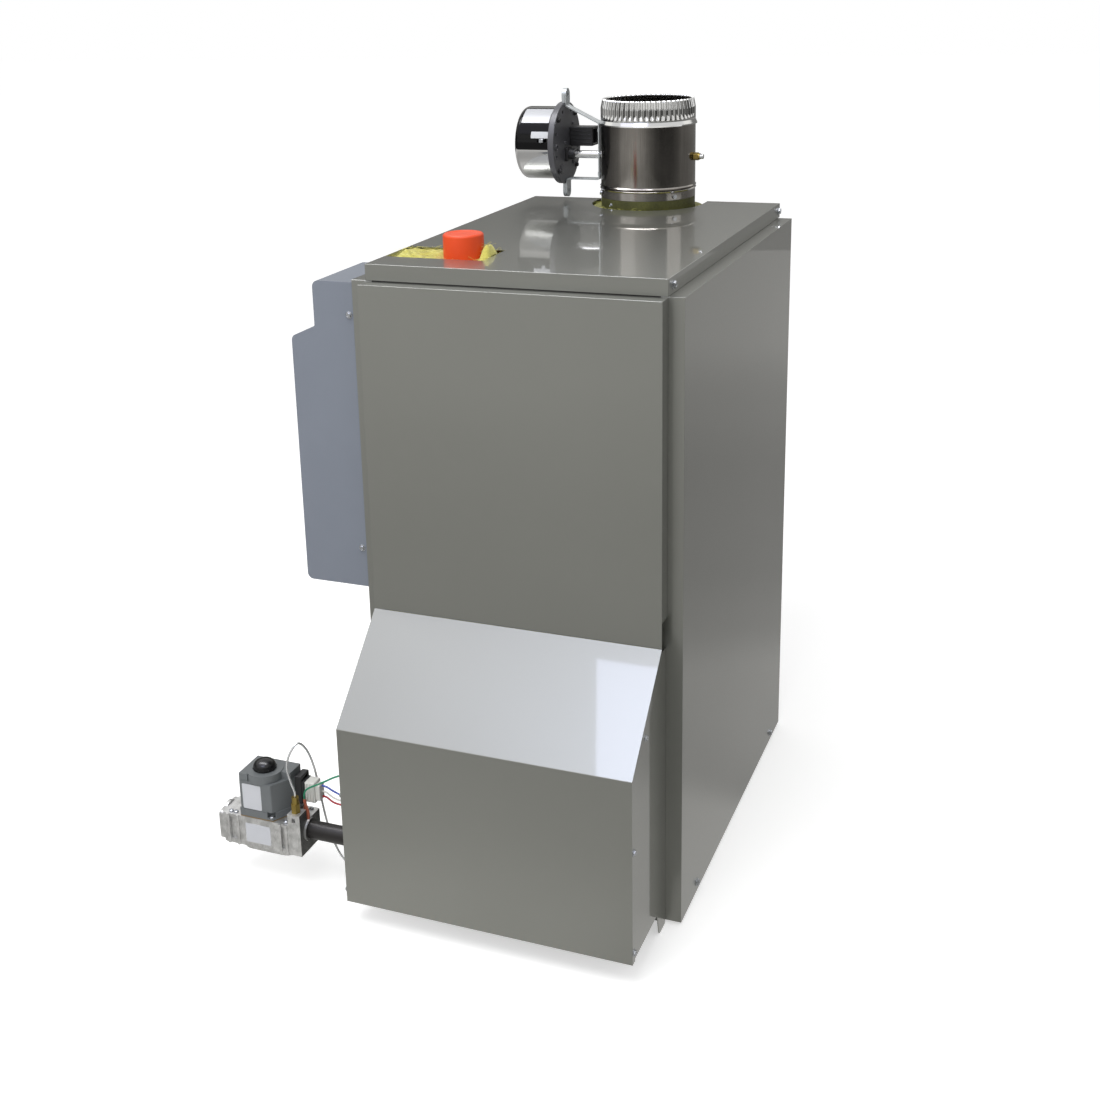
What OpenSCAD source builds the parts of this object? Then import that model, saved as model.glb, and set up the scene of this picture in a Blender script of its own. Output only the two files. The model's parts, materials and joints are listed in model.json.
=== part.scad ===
// Floor-standing cast-iron gas boiler with a draft hood, a motor-driven vent damper,
// a projecting burner hood and a gas valve outside its left side.
// Millimetres. +X is the right side, +Y the back, +Z up.
// Origin: on the floor, under the centre of the top cover.

/* [Jacket] */
// Width over the two side panels
jacket_w = 463; // [440:1:500]
// Depth of the side panels
jacket_d = 626; // [600:1:660]
// Step from the top cover's side in to the side panel, on each side
cover_step = 21.5; // [18:0.5:26]
// Depth of the top cover
cover_d = 635; // [632:1:640]
// Height of the cover's turned-down edge
cover_drop = 22; // [18:1:28]
// Thickness of the jacket sheet
sheet = 1.2; // [1:0.1:1.6]
// Gap under the side panels
toe_gap = 6; // [4:1:10]
// Width of the folded edges of the side panels
side_fold = 31; // [28:1:34]

// Height of the base box that the sections stand on
base_h = 180; // [165:1:200]
// Height from the tops of the sections to the top cover
flue_room = 217.7; // [205:0.1:240]

/* [Front] */
// Projection of the front panel from the jacket
panel_out = 24.7; // [20:0.1:30]
// Height of the front panel's lower edge above the floor
panel_z = 431; // [420:1:445]
// Projection of the burner hood from the jacket
hood_out = 155.4; // [145:0.1:165]
// Height of the fold in the burner hood
hood_fold_z = 306; // [295:1:320]
// Height of the burner hood's lower edge
hood_z = 38; // [30:1:45]
// Width of the flange that wraps round the hood's side plates
hood_flange = 11; // [8:1:14]

/* [Vent] */
// Radius of the vent pipe
vent_r = 76.2; // [74:0.1:78]
// Distance of the vent axis behind the origin
vent_y = 285.5; // [280:0.5:290]
// Height of the damper pipe's lower rim above the cover
vent_lift = 12.4; // [10:0.2:16]
// Length of the damper pipe
vent_len = 155.6; // [150:0.2:165]
// Height of the damper shaft above the cover
shaft_lift = 76; // [72:1:80]
// Height of the motor's axis above the shaft
motor_lift = 18.5; // [16:0.5:21]
// Number of crimps in the vent outlet
crimps = 54; // [40:2:60]
// Radius of the motor can
can_r = 59; // [55:1:62]
// Length of the motor can
can_len = 62; // [55:1:68]

/* [Gas train] */
// Outer radius of the gas pipe
pipe_r = 13.35; // [12:0.05:14]
// Height of the gas pipe above the floor
pipe_z = 96; // [92:1:102]
// Distance of the gas pipe in front of the origin
pipe_y = 407.5; // [402:0.5:412]
// Distance of the gas valve's outlet face left of the origin
valve_x = 303; // [296:1:312]
// Length of the gas valve body
valve_len = 133; // [126:1:140]
// Depth of the gas valve body
valve_d = 52; // [48:1:56]
// Radius of the valve's tapped inlet
inlet_r = 12.2; // [11:0.1:13]

/* [Controls] */
// Depth of the control box, front to back
control_d = 138; // [125:1:150]
// Height of the control box
control_h = 443; // [430:1:455]
// How far the control box stands out from the side
control_out = 102.5; // [95:0.5:110]
// How far its narrow upper part stands out
control_neck = 65; // [58:1:72]

/* [Water side] */
// Outer radius of the supply pipe
supply_r = 24.15; // [21:0.05:25]
// Distance of the supply pipe left of the origin
supply_x = 107.8; // [104:0.2:110]
// Outer radius of the return pipe
return_r = 21.1; // [16:0.05:24]
// Number of cast sections
sections = 4; // [3:1:5]
// Spacing of the cast sections
pitch = 78; // [74:1:80]
// Depth of a cast section
section_d = 420; // [400:5:430]
// Height of a cast section
section_h = 520; // [500:5:540]

/* [Hidden] */

// Clearances: pieces that rest on each other, turning fits, and the overrun of a cut
seat = 0.3;
run_fit = 0.08;
over = 1;

// Facets of round shapes
smooth = 96;
medium = 48;
arc_steps = 6;

// Planes of the jacket
cover_w = jacket_w - 2 * cover_step;
jacket_h = base_h + seat + section_h + flue_room;
front_y = -cover_d / 2;
side_back_y = front_y + jacket_d;
cover_back_y = cover_d / 2;
side_top_z = jacket_h - cover_drop - seat;
in_x = jacket_w / 2 - sheet;
screw_head_r = 5;
screw_head_h = 4;
screw_r = 2.2;
screw_len = 7;
side_screw_z = toe_gap + 2.8 * screw_head_r;
panel_notch = 36;
side_screw_share = [-0.375, 0.38];
hood_screw_share = 0.37;

// Base
base_w = jacket_w - 2 * (side_fold + seat);
base_sheet = 1.5;
base_front_y = front_y + sheet + seat;
base_d = 520;
base_back_y = base_front_y + base_d;
base_rail = 90;
base_rear_rail = 28;
apron_rise = 110;
apron_h = base_h + apron_rise;
window_w = 320;
window_z = [58, 140];
board_t = 18;

// Heat exchanger
section_inset = 81;
section_y = base_front_y + section_inset + section_d / 2;
web_t = 14;
rim_t = 46;
rim_w = 24;
port_r = 38;
port_bore_r = 30;
port_share = [0.34, 0.36];
nipple_len = 26;
nipple_wall = 3.5;
rod_r = 5;
rod_inset = 18;
rod_over = 14;
boss_r = 30;
boss_h = 14;
boss_depth = 16;
section_z = base_h + seat;
section_top = section_z + section_h;
stack_w = sections * pitch - 2 * seat;
supply_inset = 98;
supply_y = front_y + supply_inset;
supply_wall = 3.7;
supply_over = 20;
return_rise = 52;
return_z = section_z + return_rise;
return_gap = 3;
return_out = 36;
return_wall = 3.6;
thread_len = 20;
thread_drop = 0.4;
fin_count = 7;
fin_t = 6;
fin_h = 9;

// Flue passages
canopy_h = 100;
canopy_gap = 10;
canopy_front_y = supply_y + boss_r + canopy_gap;
canopy_back_y = section_y + section_d / 2;
canopy_rise = 34;
flue_sheet = 1;
outlet_h = 70;
outlet_drop = 6;
outlet_side = 20;
draft_w = 236;
draft_front_y = canopy_back_y + seat;
draft_margin = 26;
draft_back_y = vent_y + vent_r + draft_margin;
draft_sink = 19;
draft_h = 260;
draft_top_z = jacket_h - draft_sink;
draft_z = draft_top_z - draft_h;
relief_h = 60;
collar_wall = 0.8;
collar_r = vent_r - collar_wall - seat;
collar_grip = 14;
collar_top = jacket_h + vent_lift + collar_grip;

// Insulation
blanket_t = 25;
blanket_gap = 5;
blanket_side = 6;
top_blanket_z = jacket_h - sheet - blanket_gap;

// Top cover openings
slot_gap = 15;
slot_r = vent_r + slot_gap;
notch_side = 44.8;
notch_front = 40;
notch_x = supply_x - notch_side;
notch_y = supply_y - notch_front;
notch_d = 81;
cap_wall = 3.6;
cap_r = supply_r + cap_wall + seat;
cap_rise = 29.5;
cap_top = jacket_h + cap_rise;
cap_h = 44;
cap_round = 4;
cap_dish = 1.2;

// Vent damper
vent_wall = 0.8;
vent_z = jacket_h + vent_lift;
vent_top = vent_z + vent_len;
shaft_z = jacket_h + shaft_lift;
bead_r = 3.4;
crimp_h = 33;
crimp_deep = 2.6;
groove_lift = 16;
groove_w = 4;
groove_step = 2;
groove_out = 1.6;
groove_in = 0.6;
rivet_r = 3.4;
rivet_h = 2.4;
rivet_angle = [200, 320];
blade_gap = 3;
blade_r = vent_r - vent_wall - blade_gap;
blade_t = 1.4;
shaft_r = 4;
shaft_over = 16;
shaft_end = vent_r + shaft_over;
sleeve_r = 6.3;
bushing_r = 6.5;
bushing_len = 8;
hub_r = 7;
motor_z = shaft_z + motor_lift;
plate_rim = 7.6;
plate_r = can_r + plate_rim;
plate_t = 10;
plate_spigot = 4;
plate_hole_r = 3;
plate_hole_deep = 3;
plate_hole_share = 0.82;
plate_hole_angle = [20, 70, 110, 160, 200, 340];
gear_out = 62.8;
gear_x = -vent_r - gear_out;
coupling_r = 9;
coupling_len = 14;
can_wall = 1.2;
can_round = 9;
ear_w = 20;
ear_over = 22;
ear_hole_r = 3;
strap_t = 2;
strap_x = -vent_r - bead_r - strap_t / 2 - seat;
arm_rise = 51.5;
arm_fall = 39.5;
strap_hook = 6;
strap_screw_low = 8;
strap_screw_high = 12;
strap_screw_r = 4;
strap_screw_h = 3;
box_len = 40;
box_d = 30;
box_h = 31;
box_back = 12;
box_lift = 12;
box_socket = 12;
box_wall = 4;
slot_len = 16;
slot_h = 6;
slot_inset = 13;
slot_x = -gear_x + plate_t + slot_inset;
slot_rise = 9;
slider_len = 7;
slider_out = 3;
slider_travel = 4;

// Gas valve
valve_y = -pipe_y;
valve_left = -valve_x - valve_len;
valve_front = valve_y - valve_d / 2;
valve_back = valve_y + valve_d / 2;
cast_low = 32;
cast_high = 16;
cast_z = pipe_z - cast_low;
cast_top = pipe_z + cast_high;
end_len = 20;
post_rise = 18;
post_d = 21;
gasket_t = 1.6;
gasket_z = cast_top + seat / 3;
skirt_z = gasket_z + gasket_t + seat / 3;
skirt_h = 11;
shell_h = 56;
shell_top = skirt_z + shell_h;
turret_rise = 12.5;
turret_top = shell_top + turret_rise;
turret_r = 27;
turret_inset = 68;
turret_x = -valve_x - turret_inset;
knob_r = 17.5;
knob_h = 15;
knob_stem_r = 6;
knob_stem = 7;
knob_socket = 8;
knob_skirt = 3;
knob_flat = 8;
knob_flat_share = 0.32;
rib_r = 2.6;
rib_share = [0.106, 0.248, 0.876, 0.965];
lug_share = [0.088, 0.92];
lug_h = 16;
pocket_share = [0.133, 0.898];
pocket_w = 10;
pocket_deep = 2.5;
pocket_low = 8;
pocket_high = 5;
recess_at = [7, 6];
recess_size = [6, 5, 7];
cast_round = [8, 14];
cast_wide = 6;
sump_h = 6;
sump_left = 28;
sump_right = 4;
sump_side = 3;
sump_round = 18;
pan_r = 3.6;
pan_h = 2.6;
pan_inset = 7;
pan_share = [0.124, 0.195];
rear_pan_inset = 10;
cover_pan_inset = 48;
pan_seat = 3;
inlet_boss_r = 19;
inlet_boss = 4;
inlet_depth = 16;
outlet_ring_r = 17;
outlet_ring = 3.5;
lug_r = 6;
cover_left = 33;
cover_right = 24;
cover_nose = 21;
cover_slant = 36;
cover_in = 0.4;
cover_over = 6;
ridge_inset = 2;
ridge_w = 14;
cover_round = 3;
block_w = 14;
block_d = 24;
block_h = 44;
block_base_w = 10;
block_lip = 1;
block_low = 6;
block_high = 8;
block_rise = 4;
block_inset = 18;
plug_share = 0.72;
plug_inset = 2;
plug_step = 3;
plug_w = 22;
plug_d = 20;
plug_h = 32;
fitting_r = 7;
fitting_h = 24;
tube_r = 1.6;
tube_socket = 4;
wire_r = 1.4;
tab_w = 4;
tab_d = 8;

// Manifold and burners
pipe_wall = 2.9;
manifold_left = -170;
manifold_right = 150;
coupling_out = 4.5;
pipe_sock = 14;
burner_r = 22;
burner_wall = 1;
burner_back = 455;
mouth_gap = 14;
mouth_r = 30;
mouth_len = 36;
venturi_r = 15;
venturi_len = 60;
orifice_r = 6;
orifice_len = 12;
rack_x = 145;
rack_t = 3;
rail_h = 92;
rail_d = 3;
burner_ports = 10;
port_step_share = 1.3;
pilot_nut_h = 12;
pilot_drop = 8;
pilot_arm_t = 3;
pilot_foot_h = 14;
pilot_foot_t = 2;
module_w = 96;
module_d = 34;
module_set = 4;
module_drop = 8;
strip_w = 10;
strip_h = 54;
strip_in = 8;
strip_rise = 2;
switch_r = [11, 8];
switch_h = [3, 7];
spill_rise = 30;
rollout_drop = 14;

// Controls on the left side
control_set = 8;
control_low = 28;
control_y = front_y + control_set;
control_z = jacket_h - control_low - control_h;
control_t = 2.5;
control_drop = 65;
control_slope = 15.5;
control_r = 9;
control_plate = 1.5;
control_dent_r = 5;
control_lip = 30;
core_size = [46, 56, 52];
coil_size = [36, 36, 12];
coil_inset = 4;
core_share = 0.62;
board_size = [6, 96, 130];
board_share = 0.22;
board_drop = 60;
relay_at = [-30, -30];
relay_size = [31, 34, 36];
cube_at = [12, 14];
cube_size = [25, 26, 30];

// Routes of the pilot tube and of the valve's wires
pilot_route = [[-314, -423, 155], [-314, -423, 163], [-321, -421, 178], [-327, -418, 198], [-325, -410, 216],
    [-318, -398, 227], [-312, -386, 212], [-309, -376, 186], [-307, -370, 158], [-303, -368, 124],
    [-296, -368, 86], [-285, -370, 55], [-268, -374, 33], [-242, -378, 23], [-206, -380, 22],
    [-150, -378, 24], [-90, -374, 32], [-54, -364, 46], [-40, -353, 60], [-39, -350, 74]];
ground_route = [[-310, -404, 140], [-310, -404, 148], [-306, -404, 157], [-296, -404, 164], [-285, -404, 170],
    [-273, -403, 177], [-254, -400, 187], [-220, -388, 196], [-180, -366, 208], [-150, -350, 218],
    [-134, -341, 225], [-121, -340, 226]];
blue_route = [[-289, -387, 158], [-281, -387, 157], [-270, -388, 153], [-256, -388, 149], [-240, -386, 149],
    [-210, -378, 160], [-175, -362, 182], [-150, -350, 200], [-134, -341, 210], [-121, -340, 212]];
white_route = [[-289, -387, 149], [-282, -387, 148], [-272, -388, 143], [-260, -388, 140], [-240, -386, 140],
    [-210, -377, 148], [-176, -362, 170], [-150, -350, 187], [-134, -341, 197], [-121, -340, 198]];
red_route = [[-289, -387, 141], [-282, -387, 140], [-272, -388, 135], [-260, -388, 133], [-240, -385, 132],
    [-210, -376, 138], [-176, -361, 158], [-150, -349, 174], [-134, -341, 183], [-121, -340, 184]];
route_turns = 3;
tube_sides = 8;

// Fills the space between two corners
module span(low, high) { translate(low) cube(high - low); }

// Round bars along each axis, given by their two ends
module bar_x(r, x, at, fn = medium) {
    translate([x[0], at[0], at[1]]) rotate([0, 90, 0]) cylinder(r = r, h = x[1] - x[0], $fn = fn);
}
module bar_y(r, y, at, fn = medium) {
    translate([at[0], y[0], at[1]]) rotate([-90, 0, 0]) cylinder(r = r, h = y[1] - y[0], $fn = fn);
}
module bar_z(r, z, at, fn = medium) {
    translate([at[0], at[1], z[0]]) cylinder(r = r, h = z[1] - z[0], $fn = fn);
}

// Hexagon-head screw, head on the +Z side of the sheet it holds
module screw(r = screw_head_r, h = screw_head_h, shank = screw_r, len = screw_len) {
    cylinder(r = r * 1.25, h = h * 0.25, $fn = medium);
    cylinder(r = r, h = h, $fn = 6);
    translate([0, 0, -len]) cylinder(r = shank, h = len + h / 2, $fn = medium);
}

module screw_hole(r = screw_r) {
    translate([0, 0, -screw_len]) cylinder(r = r + seat, h = 2 * screw_len, $fn = medium);
}

// Where the screws stand: cover edges, side panels, hood flanges and control box
module at_cover_screws() {
    rows = [front_y + cover_drop, cover_back_y - cover_drop / 2];
    for (s = [-1, 1]) for (y = rows)
        translate([s * (cover_w / 2 + seat / 3), y, jacket_h - cover_drop / 2])
            rotate([0, s * 90, 0]) children();
}
module at_side_screws() {
    for (s = [-1, 1]) for (share = side_screw_share)
        translate([s * (jacket_w / 2 + seat / 3), jacket_d * share, side_screw_z])
            rotate([0, s * 90, 0]) children();
}
module at_hood_screws() {
    slope_share = hood_screw_share - 0.1;
    places = [[face_y + hood_flange / 2, hood_z + 1.5 * hood_flange],
        [face_y + hood_flange / 2, (hood_z + hood_fold_z) * 0.59],
        [face_y + hood_screw_share * hood_out, hood_fold_z + slope_share * (hood_top - hood_fold_z)]];
    for (s = [-1, 1]) for (p = places)
        translate([s * (cover_w / 2 + seat / 3), p[0], p[1]]) rotate([0, s * 90, 0]) children();
}
module at_control_screws() {
    rows = [control_z + control_h - control_drop * 0.7, control_z + control_drop * 0.9];
    for (z = rows) translate([control_x - 2 * screw_head_r, control_y - seat / 3, z])
        rotate([90, 0, 0]) children();
}

// Points of an arc of radius r that rounds the corner b between a and c
function unit(v) = v / norm(v);
function corner_arc(a, b, c, r) =
    let(u = unit(a - b), v = unit(c - b), half = acos(u * v) / 2,
        o = b + unit(u + v) * r / sin(half), p = b + u * r / tan(half), q = b + v * r / tan(half),
        from = atan2(p[1] - o[1], p[0] - o[0]), to = atan2(q[1] - o[1], q[0] - o[0]),
        turn = (to - from + 540) % 360 - 180)
    [for (i = [0:arc_steps]) let(a = from + turn * i / arc_steps) o + r * [cos(a), sin(a)]];

// Closed outline with each corner rounded by its own radius, sharp where that is 0
function rounded(points, radii) = let(n = len(points))
    [for (i = [0:n - 1]) let(r = is_list(radii) ? radii[i] : radii)
        for (p = r == 0 ? [points[i]]
            : corner_arc(points[(i + n - 1) % n], points[i], points[(i + 1) % n], r)) p];

// Open line with its inner corners rounded
function bent(points, r) = let(n = len(points))
    [for (i = [0:n - 1]) for (p = i == 0 || i == n - 1 ? [points[i]]
        : corner_arc(points[i - 1], points[i], points[i + 1], r)) p];

// Outline of a bent sheet of thickness t along a line
function side_step(c, i) = let(n = len(c), d = unit(c[min(i + 1, n - 1)] - c[max(i - 1, 0)]))
    [-d[1], d[0]];
function sheet_line(points, r, t) = let(c = bent(points, r), n = len(c))
    concat([for (i = [0:n - 1]) c[i] + side_step(c, i) * t / 2],
        [for (i = [n - 1:-1:0]) c[i] - side_step(c, i) * t / 2]);

// Extrudes an outline drawn in Y and Z along X, or one drawn in X and Z along Y
module along_x(x, points) {
    translate([x[0], 0, 0]) rotate([90, 0, 90]) linear_extrude(height = x[1] - x[0]) polygon(points);
}
module along_y(y, points) {
    translate([0, y[1], 0]) rotate([90, 0, 0]) linear_extrude(height = y[1] - y[0]) polygon(points);
}
module along_z(z, points) {
    translate([0, 0, z[0]]) linear_extrude(height = z[1] - z[0]) polygon(points);
}

// Round tube swept along a smooth curve through a route's points
function curve_at(a, b, c, d, t) =
    (2 * b + (c - a) * t + (2 * a - 5 * b + 4 * c - d) * t * t + (3 * b - a - 3 * c + d) * t * t * t) / 2;
function smooth_route(p, turns) = let(n = len(p)) concat(
    [for (i = [0:n - 2]) for (k = [0:turns - 1])
        curve_at(p[max(i - 1, 0)], p[i], p[i + 1], p[min(i + 2, n - 1)], k / turns)], [p[n - 1]]);
function heading(c, i) = let(n = len(c)) unit(c[min(i + 1, n - 1)] - c[max(i - 1, 0)]);
function square_to(v, d) = unit(v - d * (v * d));
function frames(c, i = 0, last = [0, 1, 0], out = []) = i == len(c) ? out
    : let(side = square_to(last, heading(c, i))) frames(c, i + 1, side, concat(out, [side]));
module swept(route, r) {
    c = smooth_route(route, route_turns);
    n = len(c);
    side = frames(c);
    points = [for (i = [0:n - 1]) let(u = side[i], v = cross(heading(c, i), u))
        for (k = [0:tube_sides - 1]) let(a = 360 * k / tube_sides) c[i] + r * (u * cos(a) + v * sin(a))];
    walls = [for (i = [0:n - 2]) for (k = [0:tube_sides - 1])
        let(a = i * tube_sides + k, b = i * tube_sides + (k + 1) % tube_sides)
        each [[a, b, b + tube_sides], [a, b + tube_sides, a + tube_sides]]];
    ends = [for (k = [1:tube_sides - 2]) each [[0, k + 1, k],
        [(n - 1) * tube_sides, (n - 1) * tube_sides + k, (n - 1) * tube_sides + k + 1]]];
    polyhedron(points = points, faces = [for (f = concat(walls, ends)) [f[0], f[2], f[1]]]);
}

// Base box on the floor: pan, walls, top rails, burner window and apron
module base_frame() {
    x = base_w / 2;
    color("dimgray") difference() {
        union() {
            span([-x, base_front_y, 0], [x, base_back_y, base_h]);
            span([-x, base_front_y, 0], [x, base_front_y + base_sheet, apron_h]);
        }
        span([-x + base_sheet, base_front_y + base_sheet, base_sheet],
            [x - base_sheet, base_back_y - base_sheet, base_h - base_sheet]);
        span([-x + base_rear_rail, base_front_y + base_rail, base_h - base_sheet - over],
            [x - base_rear_rail, base_back_y - base_rear_rail, base_h + over]);
        span([-window_w / 2, base_front_y - over, window_z[0]],
            [window_w / 2, base_front_y + base_sheet + over, window_z[1]]);
    }
}

// Three fibre boards that line the combustion space
module base_insulation() {
    x = base_w / 2 - base_sheet - seat;
    y = [base_front_y + base_sheet + seat, base_back_y - base_sheet - seat];
    z = [base_sheet, base_h - base_sheet - seat];
    color("lightgray") {
        for (s = [0, 1]) mirror([s, 0, 0]) span([x - board_t, y[0], z[0]], [x, y[1], z[1]]);
        span([-x + board_t + seat, y[1] - board_t, z[0]], [x - board_t - seat, y[1], z[1]]);
    }
}

burner_mouth = -pipe_y + pipe_r + orifice_len + mouth_gap;
function burner_x(i) = (i - (sections - 2) / 2) * pitch;

// One burner: a bell mouth, a venturi throat and a ported tube closed at its far end
module burner() {
    ports_from = mouth_len + 2 * venturi_len;
    profile = [[mouth_r, 0], [venturi_r, mouth_len], [venturi_r, mouth_len + venturi_len],
        [burner_r, ports_from], [burner_r, burner_back]];
    inside = [for (i = [4:-1:0]) profile[i] - [burner_wall, i == 4 ? burner_wall : 0]];
    difference() {
        rotate([-90, 0, 0]) rotate_extrude($fn = smooth)
            polygon(concat(profile, [[0, burner_back], [0, burner_back - burner_wall]], inside));
        for (i = [0:burner_ports - 1])
            translate([-burner_r / 4, ports_from + (i + 1 / 2) * burner_r * port_step_share, 0])
                cube([burner_r / 2, burner_r / 3, burner_r + over]);
    }
}
module burner_tubes() {
    color("silver") for (i = [0:sections - 2]) translate([burner_x(i), burner_mouth, pipe_z]) burner();
}

// Carrier on the base's front: a rail with a saddle round each burner, and two arms
module burner_rack() {
    y = [base_front_y - rail_d - seat, base_front_y - seat];
    z = [pipe_z - rail_h / 2, pipe_z + rail_h / 2];
    saddle_r = venturi_r + seat;
    ear = pipe_r + rack_t * 2;
    color("gray") difference() {
        union() {
            span([-rack_x, y[0], z[0]], [rack_x, y[1], z[1]]);
            for (s = [0, 1]) mirror([s, 0, 0])
                span([rack_x - rack_t, -pipe_y - ear, pipe_z - ear], [rack_x, y[1], pipe_z + ear]);
        }
        bar_x(pipe_r + seat, [-rack_x - over, rack_x + over], [-pipe_y, pipe_z]);
        for (i = [0:sections - 2])
            bar_y(saddle_r, [y[0] - over, y[1] + over], [burner_x(i), pipe_z]);
    }
}

// Manifold with a coupling at its left end and a plug in its right end
module gas_manifold() {
    at = [-pipe_y, pipe_z];
    bore_r = pipe_r - pipe_wall;
    color("#2e2c2a") difference() {
        union() {
            bar_x(pipe_r, [manifold_left, manifold_right], at, smooth);
            bar_x(pipe_r + coupling_out, [manifold_left - pipe_sock, manifold_left + pipe_sock], at, smooth);
            bar_x(pipe_r + coupling_out / 2, [manifold_right, manifold_right + pipe_sock], at, 6);
        }
        bar_x(bore_r, [manifold_left - over, manifold_right - over], at, smooth);
        bar_x(pipe_r + seat, [manifold_left - pipe_sock - over, manifold_left], at, smooth);
        for (i = [0:sections - 2])
            bar_y(orifice_r / 2 + seat, [-pipe_y, -pipe_y + pipe_r + over], [burner_x(i), pipe_z]);
    }
}
module burner_orifices() {
    face = -pipe_y + pipe_r + seat;
    color("goldenrod") for (i = [0:sections - 2]) difference() {
        union() {
            bar_y(orifice_r, [face, face + orifice_len], [burner_x(i), pipe_z], 6);
            bar_y(orifice_r / 2, [face - pipe_wall, face + over], [burner_x(i), pipe_z]);
        }
        bar_y(orifice_r / 4, [face - pipe_wall - over, face + orifice_len + over],
            [burner_x(i), pipe_z]);
    }
}

// Pilot burner: foot on the rail, gas inlet below, hooded tip and spark rod
module pilot_burner() {
    at = pilot_route[len(pilot_route) - 1];
    top = pipe_z + rail_h / 2 - pilot_drop;
    back = base_front_y - rail_d - 2 * seat;
    tip_r = 3 * tube_r;
    foot_x = 5 * tube_r;
    color("silver") {
        bar_z(4 * tube_r, [at[2] + seat, at[2] + pilot_nut_h], [at[0], at[1]], 6);
        bar_z(tip_r, [at[2] + pilot_nut_h, top], [at[0], at[1]]);
        span([at[0] - tip_r, at[1], top - pilot_arm_t], [at[0] + tip_r, back, top]);
        span([at[0] - foot_x, back - pilot_foot_t, top - pilot_foot_h], [at[0] + foot_x, back, top]);
    }
}

// Ignition module on the apron, with its terminal strip on the left
module_face = route_end(blue_route)[0];
function route_end(p) = p[len(p) - 1];
module ignition_module() {
    x = [module_face + seat, module_face + module_w];
    y = [base_front_y - module_d, base_front_y - seat];
    z = [base_h - module_set, apron_h - module_drop];
    color("#3a3f45") union() {
        span([x[0] + strip_w, y[0], z[0]], [x[1], y[1], z[1]]);
        span([x[0], y[0] + strip_in, z[0] + strip_rise],
            [x[0] + strip_w, y[1], z[0] + strip_rise + strip_h]);
    }
}

// Short black pipe between the manifold's coupling and the gas valve
module valve_nipple() {
    at = [-pipe_y, pipe_z];
    color("#2e2c2a") difference() {
        bar_x(pipe_r, [-valve_x - pipe_sock + seat, manifold_left - seat], at, smooth);
        bar_x(pipe_r - pipe_wall, [-valve_x - pipe_sock, manifold_left], at, smooth);
    }
}

// Cast section: a web inside a thick rim, joined to its neighbours at two ports
function section_x(i) = (i - (sections - 1) / 2) * pitch;
function port_at(k) = [section_y + section_d * port_share[0] * (k > 0 ? -1 : 1),
    section_z + section_h / 2 + section_h * port_share[1] * (k > 0 ? 1 : -1)];
module section_plate(i, left, right) {
    x = section_x(i);
    y = [section_y - section_d / 2, section_y + section_d / 2];
    half = pitch / 2 - seat / 2;
    reach = [left ? half : rim_t / 2, right ? half : rim_t / 2];
    deep = [x - rim_t - over, x + rim_t + over];
    fin_x = web_t / 2 + fin_h;
    window = [[y[0] + rim_w, section_z + rim_w], [y[1] - rim_w, section_z + rim_w],
        [y[1] - rim_w, section_top - rim_w], [y[0] + rim_w, section_top - rim_w]];
    difference() {
        union() {
            along_x([x - rim_t / 2, x + rim_t / 2], rounded([[y[0], section_z], [y[1], section_z],
                [y[1], section_top], [y[0], section_top]], rim_w));
            for (k = [0, 1]) bar_x(port_r, [x - reach[0], x + reach[1]], port_at(k), smooth);
            children();
        }
        for (s = [-1, 1]) difference() {
            along_x(s > 0 ? [x + web_t / 2, x + rim_t] : [x - rim_t, x - web_t / 2], rounded(window, rim_w));
            for (k = [0, 1]) bar_x(port_r, deep, port_at(k), smooth);
            for (j = [1:fin_count]) let(z = section_z + section_h * j / (fin_count + 1))
                span([x - fin_x, y[0], z - fin_t / 2], [x + fin_x, y[1], z + fin_t / 2]);
        }
        for (k = [0, 1])
            bar_x(port_bore_r + seat, [left ? x - pitch : x, right ? x + pitch : x], port_at(k), smooth);
        for (a = [y[0] + rod_inset, y[1] - rod_inset])
            for (b = [section_z + rod_inset, section_top - rod_inset]) bar_x(rod_r + seat, deep, [a, b]);
    }
}
module left_end_section() {
    back = section_y + section_d / 2 + boss_h / 2;
    high = section_top + boss_h;
    color("#5a5a5c") difference() {
        section_plate(0, false, true) {
            bar_z(boss_r, [section_top - rim_w, high], [-supply_x, supply_y], smooth);
            bar_y(boss_r, [back - boss_h / 2 - rim_w, back], [section_x(0), return_z], smooth);
        }
        bar_z(supply_r + seat, [high - boss_depth, high + over], [-supply_x, supply_y], smooth);
        bar_y(return_r + seat, [back - boss_depth, back + over], [section_x(0), return_z], smooth);
    }
}
module mid_sections() { color("#5a5a5c") for (i = [1:sections - 2]) section_plate(i, true, true); }
module right_end_section() { color("#5a5a5c") section_plate(sections - 1, true, false); }

// Slightly tapered steel rings that seal the ports between sections
module push_nipples() {
    end_r = port_bore_r - run_fit * 4;
    in_r = port_bore_r - nipple_wall;
    half = nipple_len / 2;
    color("silver") for (i = [0:sections - 2]) for (k = [0, 1])
        translate([section_x(i) + pitch / 2, port_at(k)[0], port_at(k)[1]]) rotate([0, 90, 0])
            rotate_extrude($fn = smooth)
                polygon([[in_r, -half], [end_r, -half], [port_bore_r, 0], [end_r, half], [in_r, half]]);
}

// Rods and nuts that draw the sections together
module tie_rods() {
    reach = stack_w / 2 - pitch / 2 + rim_t / 2;
    y = [section_y - section_d / 2 + rod_inset, section_y + section_d / 2 - rod_inset];
    z = [section_z + rod_inset, section_top - rod_inset];
    color("gray") for (a = y) for (b = z) {
        bar_x(rod_r, [-reach - rod_over, reach + rod_over], [a, b]);
        for (s = [-1, 1]) bar_x(rod_r * 1.8, s > 0 ? [reach + 2 * seat, reach + rod_over - seat]
            : [-reach - rod_over + seat, -reach - 2 * seat], [a, b], 6);
    }
}

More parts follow.
